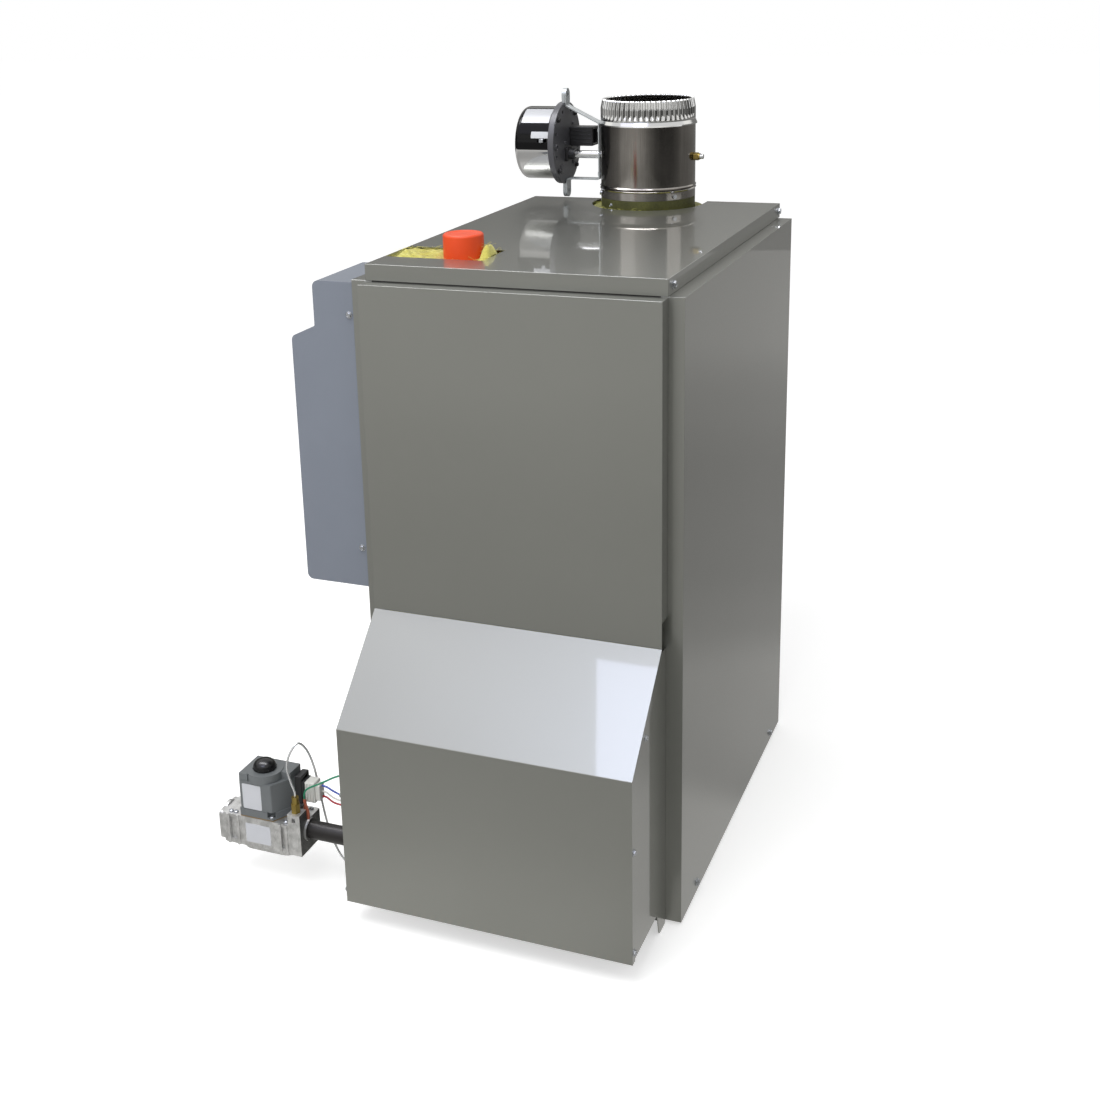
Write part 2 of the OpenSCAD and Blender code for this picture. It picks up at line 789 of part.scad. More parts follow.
// Collector on top of the sections, rising towards its outlet at the back
canopy_z = section_top + seat;
canopy_top = canopy_z + canopy_h;
outlet_z = canopy_top - outlet_h - flue_sheet - outlet_drop;
module flue_canopy() {
    x = stack_w / 2;
    y = [canopy_front_y, canopy_back_y];
    ridge = canopy_back_y - canopy_h / 2;
    t = flue_sheet;
    outer = [[y[0], canopy_z], [y[1], canopy_z], [y[1], canopy_top], [ridge, canopy_top],
        [y[0], canopy_top - canopy_rise]];
    inner = [[y[0] + t, canopy_z - over], [y[1] - t, canopy_z - over], [y[1] - t, canopy_top - t],
        [ridge, canopy_top - t], [y[0] + t, canopy_top - canopy_rise - t]];
    color("lightslategray") difference() {
        along_x([-x, x], outer);
        along_x([-x + t, x - t], inner);
        span([-draft_w / 2 + outlet_side, y[1] - t - over, outlet_z],
            [draft_w / 2 - outlet_side, y[1] + over, outlet_z + outlet_h]);
    }
}

// Draft hood: a box open below, fed from the front, with the flue collar on its top
module draft_hood() {
    x = draft_w / 2;
    t = flue_sheet;
    color("lightslategray") difference() {
        union() {
            span([-x, draft_front_y, draft_z], [x, draft_back_y, draft_top_z]);
            bar_z(collar_r, [draft_top_z - t, collar_top], [0, vent_y], smooth);
        }
        span([-x + t, draft_front_y + t, draft_z - over], [x - t, draft_back_y - t, draft_top_z - t]);
        bar_z(collar_r - collar_wall, [draft_top_z - 2 * t, collar_top + over], [0, vent_y], smooth);
        span([-x + outlet_side, draft_front_y - over, outlet_z],
            [x - outlet_side, draft_front_y + t + over, outlet_z + outlet_h]);
    }
}

// Spill switch on the draft hood's side and flame roll-out switch on the burner rail
module limit_switch() {
    cylinder(r = switch_r[0], h = switch_h[0], $fn = medium);
    translate([0, 0, switch_h[0]]) cylinder(r = switch_r[1], h = switch_h[1], $fn = medium);
}
module limit_switches() {
    rail_face = base_front_y - rail_d - 2 * seat;
    color("black") {
        translate([draft_w / 2 + seat, (draft_front_y + side_back_y) / 2, draft_z + spill_rise])
            rotate([0, 90, 0]) limit_switch();
        translate([burner_x(sections - 2) - pitch / 2, rail_face, pipe_z + rail_h / 2 - rollout_drop])
            rotate([90, 0, 0]) limit_switch();
    }
}

// Supply and return pipes screwed into the left end section
module supply_nipple() {
    low = section_top + boss_h - boss_depth + seat;
    top = jacket_h + supply_over;
    at = [-supply_x, supply_y];
    color("dimgray") difference() {
        union() {
            bar_z(supply_r, [low, top - thread_len], at, smooth);
            bar_z(supply_r - thread_drop, [top - thread_len - over, top], at, smooth);
        }
        bar_z(supply_r - supply_wall, [low - over, top + over], at, smooth);
    }
}
module return_nipple() {
    low = section_y + section_d / 2 + boss_h / 2 - boss_depth + seat;
    high = side_back_y + return_out;
    color("dimgray") difference() {
        union() {
            bar_y(return_r, [low, high - thread_len], [section_x(0), return_z], smooth);
            bar_y(return_r - thread_drop, [high - thread_len - over, high], [section_x(0), return_z], smooth);
        }
        bar_y(return_r - return_wall, [low - over, high + over], [section_x(0), return_z], smooth);
    }
}

// Glass-fibre blankets inside both sides, the front and the top, and round the collar
module jacket_insulation() {
    x = in_x - seat;
    y = [front_y + sheet + seat + blanket_t, side_back_y - 3 * sheet - 2 * seat];
    z = [side_screw_z + 2 * screw_head_r, side_top_z - sheet - 2 * seat - blanket_t * 2];
    top_x = jacket_w / 2 - side_fold - blanket_side;
    top_z = [top_blanket_z - blanket_t * 1.5, top_blanket_z];
    color("#a8a84e") {
        for (s = [0, 1]) mirror([s, 0, 0]) span([x - blanket_t, y[0] + seat, z[0]], [x, y[1], z[1]]);
        span([-x + side_fold / 3, base_front_y, apron_h + seat], [x - side_fold / 3, y[0], z[1]]);
        difference() {
            span([-top_x, front_y + 2 * sheet, top_z[0]], [top_x, canopy_back_y, top_z[1]]);
            bar_z(cap_r + seat, [top_z[0] - over, top_z[1] + over], [-supply_x, supply_y], smooth);
        }
        difference() {
            bar_z(slot_r - 2 * seat, [draft_top_z + seat, top_blanket_z], [0, vent_y], smooth);
            bar_z(vent_r + seat, [draft_top_z, top_blanket_z + over], [0, vent_y], smooth);
        }
    }
}

// Side panel: one sheet folded in at the front, back, top and bottom
module side_panel() {
    x = jacket_w / 2;
    inner = x - side_fold;
    difference() {
        span([inner, front_y, toe_gap], [x, side_back_y, side_top_z]);
        span([inner - over, front_y + sheet, toe_gap + sheet],
            [x - sheet, side_back_y - sheet, side_top_z - sheet]);
        at_side_screws() screw_hole();
    }
}
module right_side_panel() { color("#8a8983") side_panel(); }
module left_side_panel() { color("#8a8983") mirror([1, 0, 0]) side_panel(); }

// Back panel inside the side panels' folds, open for the draft hood and the return pipe
module back_panel() {
    x = in_x - 2 * seat;
    y = [side_back_y - 2 * sheet - seat, side_back_y - sheet - seat];
    hole_x = draft_w / 2 + seat;
    color("#8a8983") difference() {
        span([-x, y[0], toe_gap + sheet + seat], [x, y[1], side_top_z - sheet - seat]);
        span([-hole_x, y[0] - over, draft_z - relief_h], [hole_x, y[1] + over, side_top_z + over]);
        bar_y(return_r + return_gap, [y[0] - over, y[1] + over], [section_x(0), return_z], smooth);
    }
}

// Top cover: a tray with turned-down edges, a slot for the vent and a notch for the supply
module top_cover() {
    x = cover_w / 2;
    low = jacket_h - cover_drop;
    hood_x = draft_w / 2 + seat;
    color("#8e8c86") difference() {
        span([-x, front_y, low], [x, cover_back_y, jacket_h]);
        span([-x + sheet, front_y + sheet, low - over], [x - sheet, cover_back_y - sheet, jacket_h - sheet]);
        bar_z(slot_r, [low - over, jacket_h + over], [0, vent_y], smooth);
        span([-slot_r, vent_y, low - over], [slot_r, cover_back_y + over, jacket_h + over]);
        span([-x + sheet, notch_y, jacket_h - sheet - over], [-notch_x, notch_y + notch_d, jacket_h + over]);
        span([-hood_x, vent_y, low - over], [hood_x, cover_back_y + over, draft_top_z + seat]);
        at_cover_screws() screw_hole();
    }
}

// Screws in the cover's edges and along the bottoms of the side panels
module jacket_screws() {
    color("silver") {
        at_cover_screws() screw();
        at_side_screws() screw();
    }
}

// Front panel: a shallow pan that stands off the side panels' front folds
panel_top = side_top_z - sheet;
module front_panel() {
    x = cover_w / 2;
    face = front_y - panel_out;
    color("#8a8983") difference() {
        span([-x, face, panel_z], [x, front_y - seat, panel_top]);
        span([-x + sheet, face + sheet, panel_z + sheet], [x - sheet, front_y + over, panel_top - sheet]);
        span([-x - over, face + sheet, panel_z - over], [x + over, front_y + over, panel_z + panel_notch]);
    }
}

// Hood sheet: a slope and an upright face, with flanges round the side plates
hood_top = panel_z - 2 * seat;
slope_y = front_y - panel_out;
face_y = front_y - hood_out;
module hood_front() {
    x = cover_w / 2;
    line = [[slope_y, hood_top], [face_y, hood_fold_z], [face_y, hood_z]];
    u = unit(line[1] - line[0]);
    inward = [-u[1], u[0]];
    back_y = face_y + 2 * hood_flange;
    band = [line[0], line[1], line[2], line[2] + [hood_flange, 0],
        [face_y + hood_flange, hood_fold_z - hood_flange / 3],
        line[0] + inward * hood_flange + u * 2 * sheet];
    core = [line[0] + inward * sheet - u * over, [face_y + sheet, hood_fold_z - sheet / 3],
        [face_y + sheet, hood_z - over], [back_y, hood_z - over], [back_y, hood_fold_z],
        line[0] + inward * 2 * hood_flange - u * over];
    color("#9a9994") difference() {
        along_x([-x, x], rounded(band, [0, 2 * sheet, 0, 0, 0, 0]));
        along_x([-x + sheet, x - sheet], rounded(core, [0, sheet, 0, 0, 0, 0]));
        at_hood_screws() screw_hole();
    }
}

// Hood side plate with a foot tab; the left one is cut away for the pipe and wires
foot_r = 9;
foot_w = 30;
foot_z = 0.6;
foot_round = 3;
notch_z = 218;
plate_x = cover_w / 2 - sheet - seat;
function plate_outline() = let(d = sheet + seat)
    [[slope_y + d, hood_top - hood_flange * 0.7], [face_y + d, hood_fold_z - d / 2], [face_y + d, hood_z],
    [front_y - 1.3 * foot_w, hood_z], [front_y - foot_w, foot_z], [front_y - seat, foot_z],
    [front_y - seat, hood_top - hood_flange * 0.7]];
module side_plate() {
    difference() {
        along_x([plate_x - sheet, plate_x],
            rounded(plate_outline(), [0, 0, foot_round, 0, foot_r, foot_round, 0]));
        at_hood_screws() screw_hole();
    }
}
module hood_side_right() { color("#8a8983") side_plate(); }
module hood_side_left() {
    y = [-pipe_y - 2 * pipe_r, front_y + over];
    z = [foot_z - over, notch_z];
    color("#8a8983") mirror([1, 0, 0]) difference() {
        side_plate();
        along_x([plate_x - 2 * sheet, plate_x + sheet],
            rounded([[y[0], z[0]], [y[1], z[0]], [y[1], z[1]], [y[0], z[1]]], [0, 0, 0, pipe_r]));
    }
}
module hood_screws() {
    color("silver") at_hood_screws()
        screw(r = screw_head_r * 0.8, h = screw_head_h * 0.8, len = 2 * sheet + 2 * seat);
}

// Cast body: ribbed block, tall post at the outlet end, tapped inlet and outlet
module gas_valve_body() {
    end_x = -valve_x - end_len;
    long = end_x - valve_left;
    inlet_x = valve_left - inlet_boss;
    low = [[valve_left, valve_front], [end_x, valve_front], [end_x, valve_back], [valve_left, valve_back]];
    sump = [[valve_left + sump_left, valve_front + sump_side], [end_x + sump_right, valve_front + sump_side],
        [end_x + sump_right, valve_back - sump_side], [valve_left + sump_left, valve_back - sump_side]];
    color("#b4b4b0") difference() {
        union() {
            along_z([cast_z, cast_top], rounded(low, [cast_round[0], 0, 0, cast_round[1]]));
            span([end_x, valve_front, cast_z], [-valve_x, valve_back + cast_wide, cast_top]);
            span([end_x, valve_front, cast_top - over],
                [-valve_x, valve_front + post_d, cast_top + post_rise]);
            along_z([cast_z - sump_h, cast_z], rounded(sump, sump_round));
            for (share = rib_share)
                bar_z(rib_r, [cast_z, cast_top], [valve_left + share * long, valve_front]);
            bar_x(inlet_boss_r, [inlet_x, valve_left + over], [valve_y, pipe_z], smooth);
            bar_x(outlet_ring_r, [-valve_x - over, -valve_x + outlet_ring], [valve_y, pipe_z], smooth);
            for (share = lug_share)
                bar_z(lug_r, [cast_top - lug_h, cast_top], [valve_left + share * long, valve_back]);
        }
        bar_x(inlet_r, [inlet_x - over, inlet_x + inlet_depth], [valve_y, pipe_z], smooth);
        bar_x(pipe_r + seat, [-valve_x - pipe_sock, -valve_x + outlet_ring + over],
            [valve_y, pipe_z], smooth);
        for (share = pocket_share) let(x = valve_left + share * long)
            span([x, valve_front - over, cast_z + pocket_low],
                [x + pocket_w, valve_front + pocket_deep, cast_top - pocket_high]);
        translate([end_x + recess_at[0], valve_front - over, cast_top + recess_at[1]])
            cube(recess_size + [0, over, 0]);
    }
}

// Outline of the moulded cover over the valve, seen from above
cover_back = valve_back + cover_over;
function cover_outline(grow) = let(left = valve_left + cover_left - grow,
    right = -valve_x - cover_right + grow, front = valve_front + cover_in - grow, back = cover_back + grow)
    [[left, front], [right - cover_nose, front], [right, valve_front + cover_slant],
    [right, back], [left, back]];
module valve_gasket() {
    color("tan") along_z([gasket_z, gasket_z + gasket_t], cover_outline(-cover_in));
}
module gas_valve_cover() {
    rear = cover_outline(0);
    z = [shell_top - over, turret_top - block_lip];
    left = rear[0][0] + ridge_inset;
    round_share = [2, 2, 3, 3, 3] / 3;
    color("#6f7374") difference() {
        union() {
            along_z([skirt_z, skirt_z + skirt_h], rounded(rear, round_share * cover_round));
            along_z([skirt_z, shell_top],
                rounded(cover_outline(-block_lip), round_share * cover_round * 1.5));
            bar_z(turret_r, [z[0], turret_top], [turret_x, valve_y], smooth);
            span([left, valve_y, z[0]], [rear[3][0] - ridge_inset, cover_back - ridge_inset, z[1]]);
            span([left, rear[0][1] + ridge_inset, z[0]], [left + ridge_w, valve_y + over, z[1]]);
        }
        bar_z(knob_stem_r + run_fit, [turret_top - knob_socket, turret_top + over], [turret_x, valve_y]);
        bar_z(lug_r, [skirt_z + pan_seat, skirt_z + skirt_h + over],
            [-valve_x - cover_pan_inset, valve_front + pan_seat]);
    }
}
module valve_screws() {
    gap = seat / 3;
    row_y = valve_front + pan_inset;
    places = concat([for (share = pan_share) [valve_left + share * (valve_len - end_len), row_y]],
        [[-valve_x - end_len - pan_inset, row_y], [-valve_x - rear_pan_inset, valve_back]]);
    color("silver") {
        translate([-valve_x - cover_pan_inset, valve_front + pan_r, skirt_z + pan_seat + gap])
            cylinder(r = pan_r, h = pan_h, $fn = medium);
        for (p = places) translate([p[0], p[1], cast_top + gap])
            cylinder(r = pan_r, h = pan_h, $fn = medium);
    }
}

// Gas cock knob: a dome with two finger flats, on a stem in the turret
module valve_knob() {
    dome = knob_h - knob_skirt;
    flat = knob_r * knob_flat_share;
    out = knob_r + over;
    color("#1c1c1e") translate([turret_x, valve_y, turret_top + seat]) difference() {
        union() {
            translate([0, 0, -knob_stem]) cylinder(r = knob_stem_r, h = knob_stem + over, $fn = medium);
            rotate_extrude($fn = smooth) polygon(concat([[0, 0], [knob_r, 0]],
                [for (i = [0:arc_steps * 2]) let(a = 90 * i / (arc_steps * 2))
                    [knob_r * cos(a), knob_skirt + dome * sin(a)]]));
        }
        for (s = [0, 1]) mirror([s, 0, 0]) span([flat, -out, knob_flat], [out, out, knob_h + over]);
    }
}

// Wiring on the outlet end: terminal block, plug, ground tab sleeve and leads
block_x = -valve_x - cover_right + seat;
block_y = valve_back - block_inset;
module valve_terminal_block() {
    z = skirt_z + skirt_h + block_rise;
    color("black") union() {
        span([block_x, block_y, z], [block_x + block_base_w, block_y + block_d, z + block_h]);
        span([block_x + block_base_w - over, block_y + block_lip, z + block_low],
            [block_x + block_w, block_y + block_d - block_lip, z + block_h - block_high]);
    }
}
module valve_plug() {
    x = block_x + block_w + seat;
    y = block_y + plug_inset;
    z = skirt_z + skirt_h + 2 * block_rise;
    neck_x = x + plug_w * plug_share;
    color("whitesmoke") union() {
        span([x, y, z], [neck_x, y + plug_d, z + plug_h]);
        span([neck_x - over, y + plug_step, z + plug_step],
            [blue_route[0][0] - seat, y + plug_d - plug_step, z + plug_h - plug_step - over]);
    }
}
module pilot_fitting() {
    at = pilot_route[0];
    low = cast_top + post_rise + seat / 3;
    color("#a28a3a") difference() {
        union() {
            bar_z(fitting_r, [low, low + fitting_h * 0.6], [at[0], at[1]], 6);
            bar_z(fitting_r * 0.75, [low, at[2] - seat], [at[0], at[1]]);
        }
        bar_z(tube_r + seat, [at[2] - tube_socket, at[2] + over], [at[0], at[1]]);
    }
}
module pilot_tube() { color("silver") swept(pilot_route, tube_r); }
module ground_wire() {
    at = ground_route[0];
    color("#2f8f6a") {
        swept(ground_route, wire_r);
        span([at[0] - tab_w / 2, at[1] - tab_d / 2, cast_top + seat],
            [at[0] + tab_w / 2, at[1] + tab_d / 2, at[2] - seat]);
    }
}
module blue_wire() { color("#2a48b0") swept(blue_route, wire_r); }
module white_wire() { color("white") swept(white_route, wire_r); }
module red_wire() { color("#b02030") swept(red_route, wire_r); }

// Control box: a back plate on the side panel under a stepped, rounded cover
control_x = -jacket_w / 2 - seat;
function control_outline(grow, base) = let(top = control_z + control_h, low = control_z - grow,
    neck = control_x - control_neck - grow, out = control_x - control_out - grow,
    step = top - control_drop + grow / 2, r = control_r + grow)
    rounded([[base, low], [base, top + grow], [neck, top + grow], [neck, step],
        [out, step - control_slope], [out, low]], [0, 0, r, control_dent_r, r, r]);
module control_box_base() {
    inset = control_t + seat;
    low = [control_x - control_plate, control_y + inset, control_z + inset];
    high = [control_x, control_y + control_d - inset, control_z + control_h - inset];
    color("silver") union() {
        span(low, high);
        span([low[0] - control_lip, low[1], low[2]], [low[0] + over / 2, low[1] + control_plate, high[2]]);
    }
}
module control_cover() {
    y = [control_y, control_y + control_d];
    color("#787e8a") difference() {
        along_y(y, control_outline(0, control_x));
        along_y([y[0] + control_t, y[1] - control_t], control_outline(-control_t, control_x + over));
        at_control_screws() screw_hole();
    }
}
module transformer() {
    x = control_x - control_plate - seat;
    y = control_y + control_d / 2;
    z = control_z + control_h * core_share;
    gap = seat / 3;
    color("dimgray") {
        translate([x - core_size[0], y - core_size[1] / 2, z]) cube(core_size);
        for (low = [z - coil_size[2] - gap, z + core_size[2] + gap])
            translate([x - coil_inset - coil_size[0], y - coil_size[1] / 2, low]) cube(coil_size);
    }
}
module control_relay() {
    x = control_x - control_plate - seat;
    y = control_y + control_d / 2;
    z = control_z + control_h * board_share;
    inner = x - board_size[0] + over;
    color("darkgreen") union() {
        translate([x - board_size[0], y - board_size[1] / 2, z - board_drop]) cube(board_size);
        translate([inner - relay_size[0], y + relay_at[0], z + relay_at[1]]) cube(relay_size);
        translate([inner - cube_size[0], y + cube_at[0], z + cube_at[1]]) cube(cube_size);
    }
}
module control_screws() {
    color("silver") at_control_screws()
        screw(r = screw_head_r * 0.8, h = screw_head_h * 0.8, len = control_t);
}

// Damper pipe with a rolled groove, a lower collar and holes for the shaft
module ring_profile() {
    g = vent_z + groove_lift;
    top = vent_top - crimp_h - 4 * bead_r;
    r = vent_r;
    outer = [[r, vent_z], [r, g - groove_w], [r + groove_out, g - groove_step], [r - groove_in, g],
        [r + groove_out, g + groove_step], [r, g + groove_w], [r, top + bead_r],
        [r + bead_r, top + 2 * bead_r], [r + bead_r, top + 3 * bead_r], [r, top + 4 * bead_r]];
    polygon(concat(outer, [[r - vent_wall, top + 4 * bead_r], [r - vent_wall, vent_z]]));
}
module damper_pipe() {
    color("#6e6a66") difference() {
        translate([0, vent_y, 0]) rotate_extrude($fn = smooth) ring_profile();
        bar_x(sleeve_r + seat, [-vent_r - over, 0], [vent_y, shaft_z]);
        bar_x(shaft_r + seat, [0, vent_r + over], [vent_y, shaft_z]);
    }
}

// Fluted outlet end that lets the next length of vent slip over it
collar_z = vent_top - crimp_h + seat;
function fluted(r) = let(steps = crimps * 4)
    [for (i = [0:steps - 1]) let(a = 360 * i / steps) (r - (i % 4 > 1 ? crimp_deep : 0)) * [cos(a), sin(a)]];
module crimped_collar() {
    color("#c8c8c8") translate([0, vent_y, collar_z]) linear_extrude(height = vent_top - collar_z)
        difference() {
            polygon(fluted(vent_r));
            polygon(fluted(vent_r - vent_wall));
        }
}

// Blade stamped round the shaft: open, it stands upright in the flow
module damper_blade() {
    color("silver") difference() {
        union() {
            bar_y(blade_r, [vent_y - blade_t / 2, vent_y + blade_t / 2], [0, shaft_z], smooth);
            bar_x(hub_r, [-blade_r * 0.8, blade_r * 0.8], [vent_y, shaft_z]);
        }
        bar_x(shaft_r + run_fit, [-blade_r - over, blade_r + over], [vent_y, shaft_z]);
    }
}
module damper_shaft() {
    color("lightgray") union() {
        bar_x(shaft_r, [gear_x + seat, shaft_end], [vent_y, shaft_z]);
        bar_x(sleeve_r, [gear_x + coupling_len, strap_x + 2 * strap_t], [vent_y, shaft_z]);
        bar_x(coupling_r, [gear_x + seat, gear_x + coupling_len + over], [vent_y, shaft_z]);
    }
}
module shaft_bushing() {
    color("#a28a3a") difference() {
        union() {
            bar_x(bushing_r, [vent_r + seat, vent_r + bushing_len], [vent_y, shaft_z], 6);
            bar_x(bushing_r * 0.8, [vent_r + seat, vent_r + bushing_len * 1.3], [vent_y, shaft_z]);
        }
        bar_x(shaft_r + run_fit, [vent_r - over, shaft_end], [vent_y, shaft_z]);
    }
}

// Motor: drawn can, gear plate, strap bracket, receptacle and hold-open switch
function can_corner(r) = [for (i = [0:arc_steps]) let(a = 90 * i / arc_steps)
    [can_r - can_round + r * cos(a), can_len - can_round + r * sin(a)]];
function backwards(list) = [for (i = [len(list) - 1:-1:0]) list[i]];
module motor_can() {
    slot_z = motor_z + slot_rise;
    outer = concat([[can_r, 0]], can_corner(can_round), [[0, can_len]]);
    inner = concat([[0, can_len - can_wall]], backwards(can_corner(can_round - can_wall)),
        [[can_r - can_wall, 0]]);
    color("gainsboro") difference() {
        translate([gear_x - plate_t - seat, vent_y, motor_z]) rotate([0, -90, 0])
            rotate_extrude($fn = smooth) polygon(concat(outer, inner));
        span([-slot_x - slot_len / 2, vent_y - can_r - over, slot_z - slot_h / 2],
            [-slot_x + slot_len / 2, vent_y - can_r + 3 * can_wall, slot_z + slot_h / 2]);
    }
}
module motor_plate() {
    x = [gear_x - plate_t, gear_x];
    at_r = plate_r * plate_hole_share;
    color("#4a4a4d") difference() {
        union() {
            bar_x(plate_r, x, [vent_y, motor_z], smooth);
            bar_x(can_r - can_wall - seat, [x[0] - plate_spigot, x[0] + over], [vent_y, motor_z], smooth);
        }
        for (a = plate_hole_angle) bar_x(plate_hole_r, [x[1] - plate_hole_deep, x[1] + over],
            [vent_y + at_r * cos(a), motor_z + at_r * sin(a)]);
    }
}
strap_screw_z = [shaft_z - arm_fall + strap_screw_low, shaft_z + arm_rise - strap_screw_high];
module motor_bracket() {
    ear_x = gear_x + seat + strap_t / 2;
    top = motor_z + plate_r + ear_over;
    low = motor_z - plate_r - ear_over;
    eye_z = [low + ear_w / 2, top - ear_w / 2];
    line = [[ear_x, low], [ear_x, shaft_z - arm_fall], [strap_x, shaft_z - arm_fall],
        [strap_x, shaft_z + arm_rise], [ear_x, motor_z + plate_r - strap_hook], [ear_x, top]];
    y = [vent_y - ear_w / 2, vent_y + ear_w / 2];
    ear = [ear_x - 2 * strap_t, ear_x + 2 * strap_t];
    face = [strap_x - 2 * strap_t, strap_x + 2 * strap_t];
    color("#b8bcc0") difference() {
        along_y(y, sheet_line(line, strap_t * 1.5, strap_t));
        bar_x(sleeve_r + seat, face, [vent_y, shaft_z]);
        for (z = eye_z) bar_x(ear_hole_r, ear, [vent_y, z]);
        for (z = strap_screw_z) bar_x(screw_r + seat, face, [vent_y, z]);
        for (s = [0, 1]) difference() {
            span([ear[0], y[0] - over, s > 0 ? eye_z[1] : low - over],
                [ear[1], y[1] + over, s > 0 ? top + over : eye_z[0]]);
            bar_x(ear_w / 2, [ear[0] - over, ear[1] + over], [vent_y, eye_z[s]]);
        }
    }
}
module damper_receptacle() {
    low = [gear_x + seat, vent_y + box_back, shaft_z + box_lift];
    color("#202022") difference() {
        span(low, low + [box_len, box_d, box_h]);
        span(low + [box_len - box_socket, box_wall, box_wall],
            low + [box_len + over, box_d - box_wall, box_h - box_wall]);
    }
}
module hold_open_switch() {
    y = vent_y - can_r;
    z = motor_z + slot_rise;
    color("silver") span([-slot_x - slider_len / 2, y - slider_out, z - slot_h / 2 + seat],
        [-slot_x + slider_len / 2, y + can_wall * 2, z + slot_h / 2 - seat]);
}
module damper_screws() {
    gap = seat / 3;
    head_x = strap_x - strap_t / 2 - gap;
    color("silver") {
        for (z = strap_screw_z) translate([head_x, vent_y, z]) rotate([0, -90, 0])
            screw(r = strap_screw_r, h = strap_screw_h, shank = screw_r, len = -head_x - vent_r - gap);
        for (a = rivet_angle) translate([0, vent_y, vent_z + groove_lift / 3]) rotate([0, 0, a])
            translate([vent_r + gap, 0, 0]) rotate([0, 90, 0])
                cylinder(r = rivet_r, h = rivet_h, $fn = medium);
    }
}

// Moulded cap over the open supply pipe, with a dished top
module supply_cap() {
    low = cap_top - cap_h;
    in_r = supply_r + seat;
    floor_z = cap_top - cap_dish;
    outer = concat([[in_r, low], [cap_r, low]], [for (i = [0:arc_steps]) let(a = 90 * i / arc_steps)
        [cap_r - cap_round + cap_round * cos(a), cap_top - cap_round + cap_round * sin(a)]],
        [[cap_r * 0.68, cap_top], [cap_r * 0.6, floor_z], [0, floor_z], [0, floor_z - cap_wall],
        [in_r, floor_z - cap_wall]]);
    color("#e8501f") translate([-supply_x, supply_y, 0]) rotate_extrude($fn = smooth) polygon(outer);
}

base_frame();
base_insulation();
burner_tubes();
burner_rack();
gas_manifold();
burner_orifices();
pilot_burner();
ignition_module();
valve_nipple();
left_end_section();
mid_sections();
right_end_section();
push_nipples();
tie_rods();
flue_canopy();
draft_hood();
limit_switches();
supply_nipple();
return_nipple();
jacket_insulation();
left_side_panel();
right_side_panel();
back_panel();
top_cover();
jacket_screws();
front_panel();
hood_front();
hood_side_left();
hood_side_right();
hood_screws();
gas_valve_body();
valve_gasket();
gas_valve_cover();
valve_screws();
valve_knob();
valve_terminal_block();
valve_plug();
pilot_fitting();
pilot_tube();
ground_wire();
blue_wire();
white_wire();
red_wire();
control_box_base();
control_cover();
transformer();
control_relay();
control_screws();
damper_pipe();
crimped_collar();
damper_blade();
damper_shaft();
shaft_bushing();
motor_can();
motor_plate();
motor_bracket();
damper_receptacle();
hold_open_switch();
damper_screws();
supply_cap();
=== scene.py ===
"""Looks of a floor-standing cast-iron gas boiler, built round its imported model.

The boiler has a metallic taupe jacket, a projecting burner hood, a motor-driven vent damper
on its top and a gas valve beside its left foot. Lengths are in millimetres, except in the
studio, where they are in metres.
"""

import json
import logging
import math
from collections.abc import Iterable, Sequence
from dataclasses import dataclass
from enum import Enum

import bmesh
import bpy
from mathutils import Euler, Matrix, Vector

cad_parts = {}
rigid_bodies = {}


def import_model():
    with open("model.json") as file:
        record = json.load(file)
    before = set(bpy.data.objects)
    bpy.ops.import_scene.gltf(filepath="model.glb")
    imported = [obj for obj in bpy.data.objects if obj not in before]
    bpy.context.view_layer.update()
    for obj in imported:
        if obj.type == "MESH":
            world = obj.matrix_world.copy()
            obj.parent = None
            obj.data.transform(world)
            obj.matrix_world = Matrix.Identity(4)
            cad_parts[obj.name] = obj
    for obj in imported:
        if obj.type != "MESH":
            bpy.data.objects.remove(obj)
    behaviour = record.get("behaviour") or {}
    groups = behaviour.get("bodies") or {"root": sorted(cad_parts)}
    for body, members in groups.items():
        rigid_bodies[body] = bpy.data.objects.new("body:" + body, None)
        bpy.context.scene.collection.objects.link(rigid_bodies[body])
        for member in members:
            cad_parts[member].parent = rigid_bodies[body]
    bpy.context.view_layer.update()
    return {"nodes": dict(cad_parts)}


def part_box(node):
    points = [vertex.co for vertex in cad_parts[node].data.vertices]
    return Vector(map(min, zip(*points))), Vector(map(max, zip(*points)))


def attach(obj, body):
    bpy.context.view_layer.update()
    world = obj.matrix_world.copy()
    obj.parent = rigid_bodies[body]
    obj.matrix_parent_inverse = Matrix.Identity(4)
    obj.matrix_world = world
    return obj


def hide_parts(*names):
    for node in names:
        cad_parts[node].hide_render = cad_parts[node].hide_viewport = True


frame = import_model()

Point = tuple[float, float, float]
Pair = tuple[float, float]
Shape = bmesh.types.BMesh
Piece = bpy.types.Object
Tree = bpy.types.NodeTree
Socket = bpy.types.NodeSocket

LOG = logging.getLogger("boiler")
MM = 0.001
# Sockets of a Mix node that is set to colours
MIX_A, MIX_B, MIX_OUT = 6, 7, 2
SOCKETS = {"float": "NodeSocketFloat", "int": "NodeSocketInt", "vector": "NodeSocketVector",
           "object": "NodeSocketObject", "material": "NodeSocketMaterial"}


def linear(colour: str) -> tuple[float, float, float, float]:
    """Turns an sRGB hex colour into linear light.

    Args:
        colour: six hex digits after a hash sign.

    Returns:
        Red, green, blue and an alpha of 1.
    """
    shares = [int(colour[i:i + 2], 16) / 255 for i in (1, 3, 5)]
    light = [s / 12.92 if s <= 0.04045 else ((s + 0.055) / 1.055) ** 2.4 for s in shares]
    return (*light, 1.0)


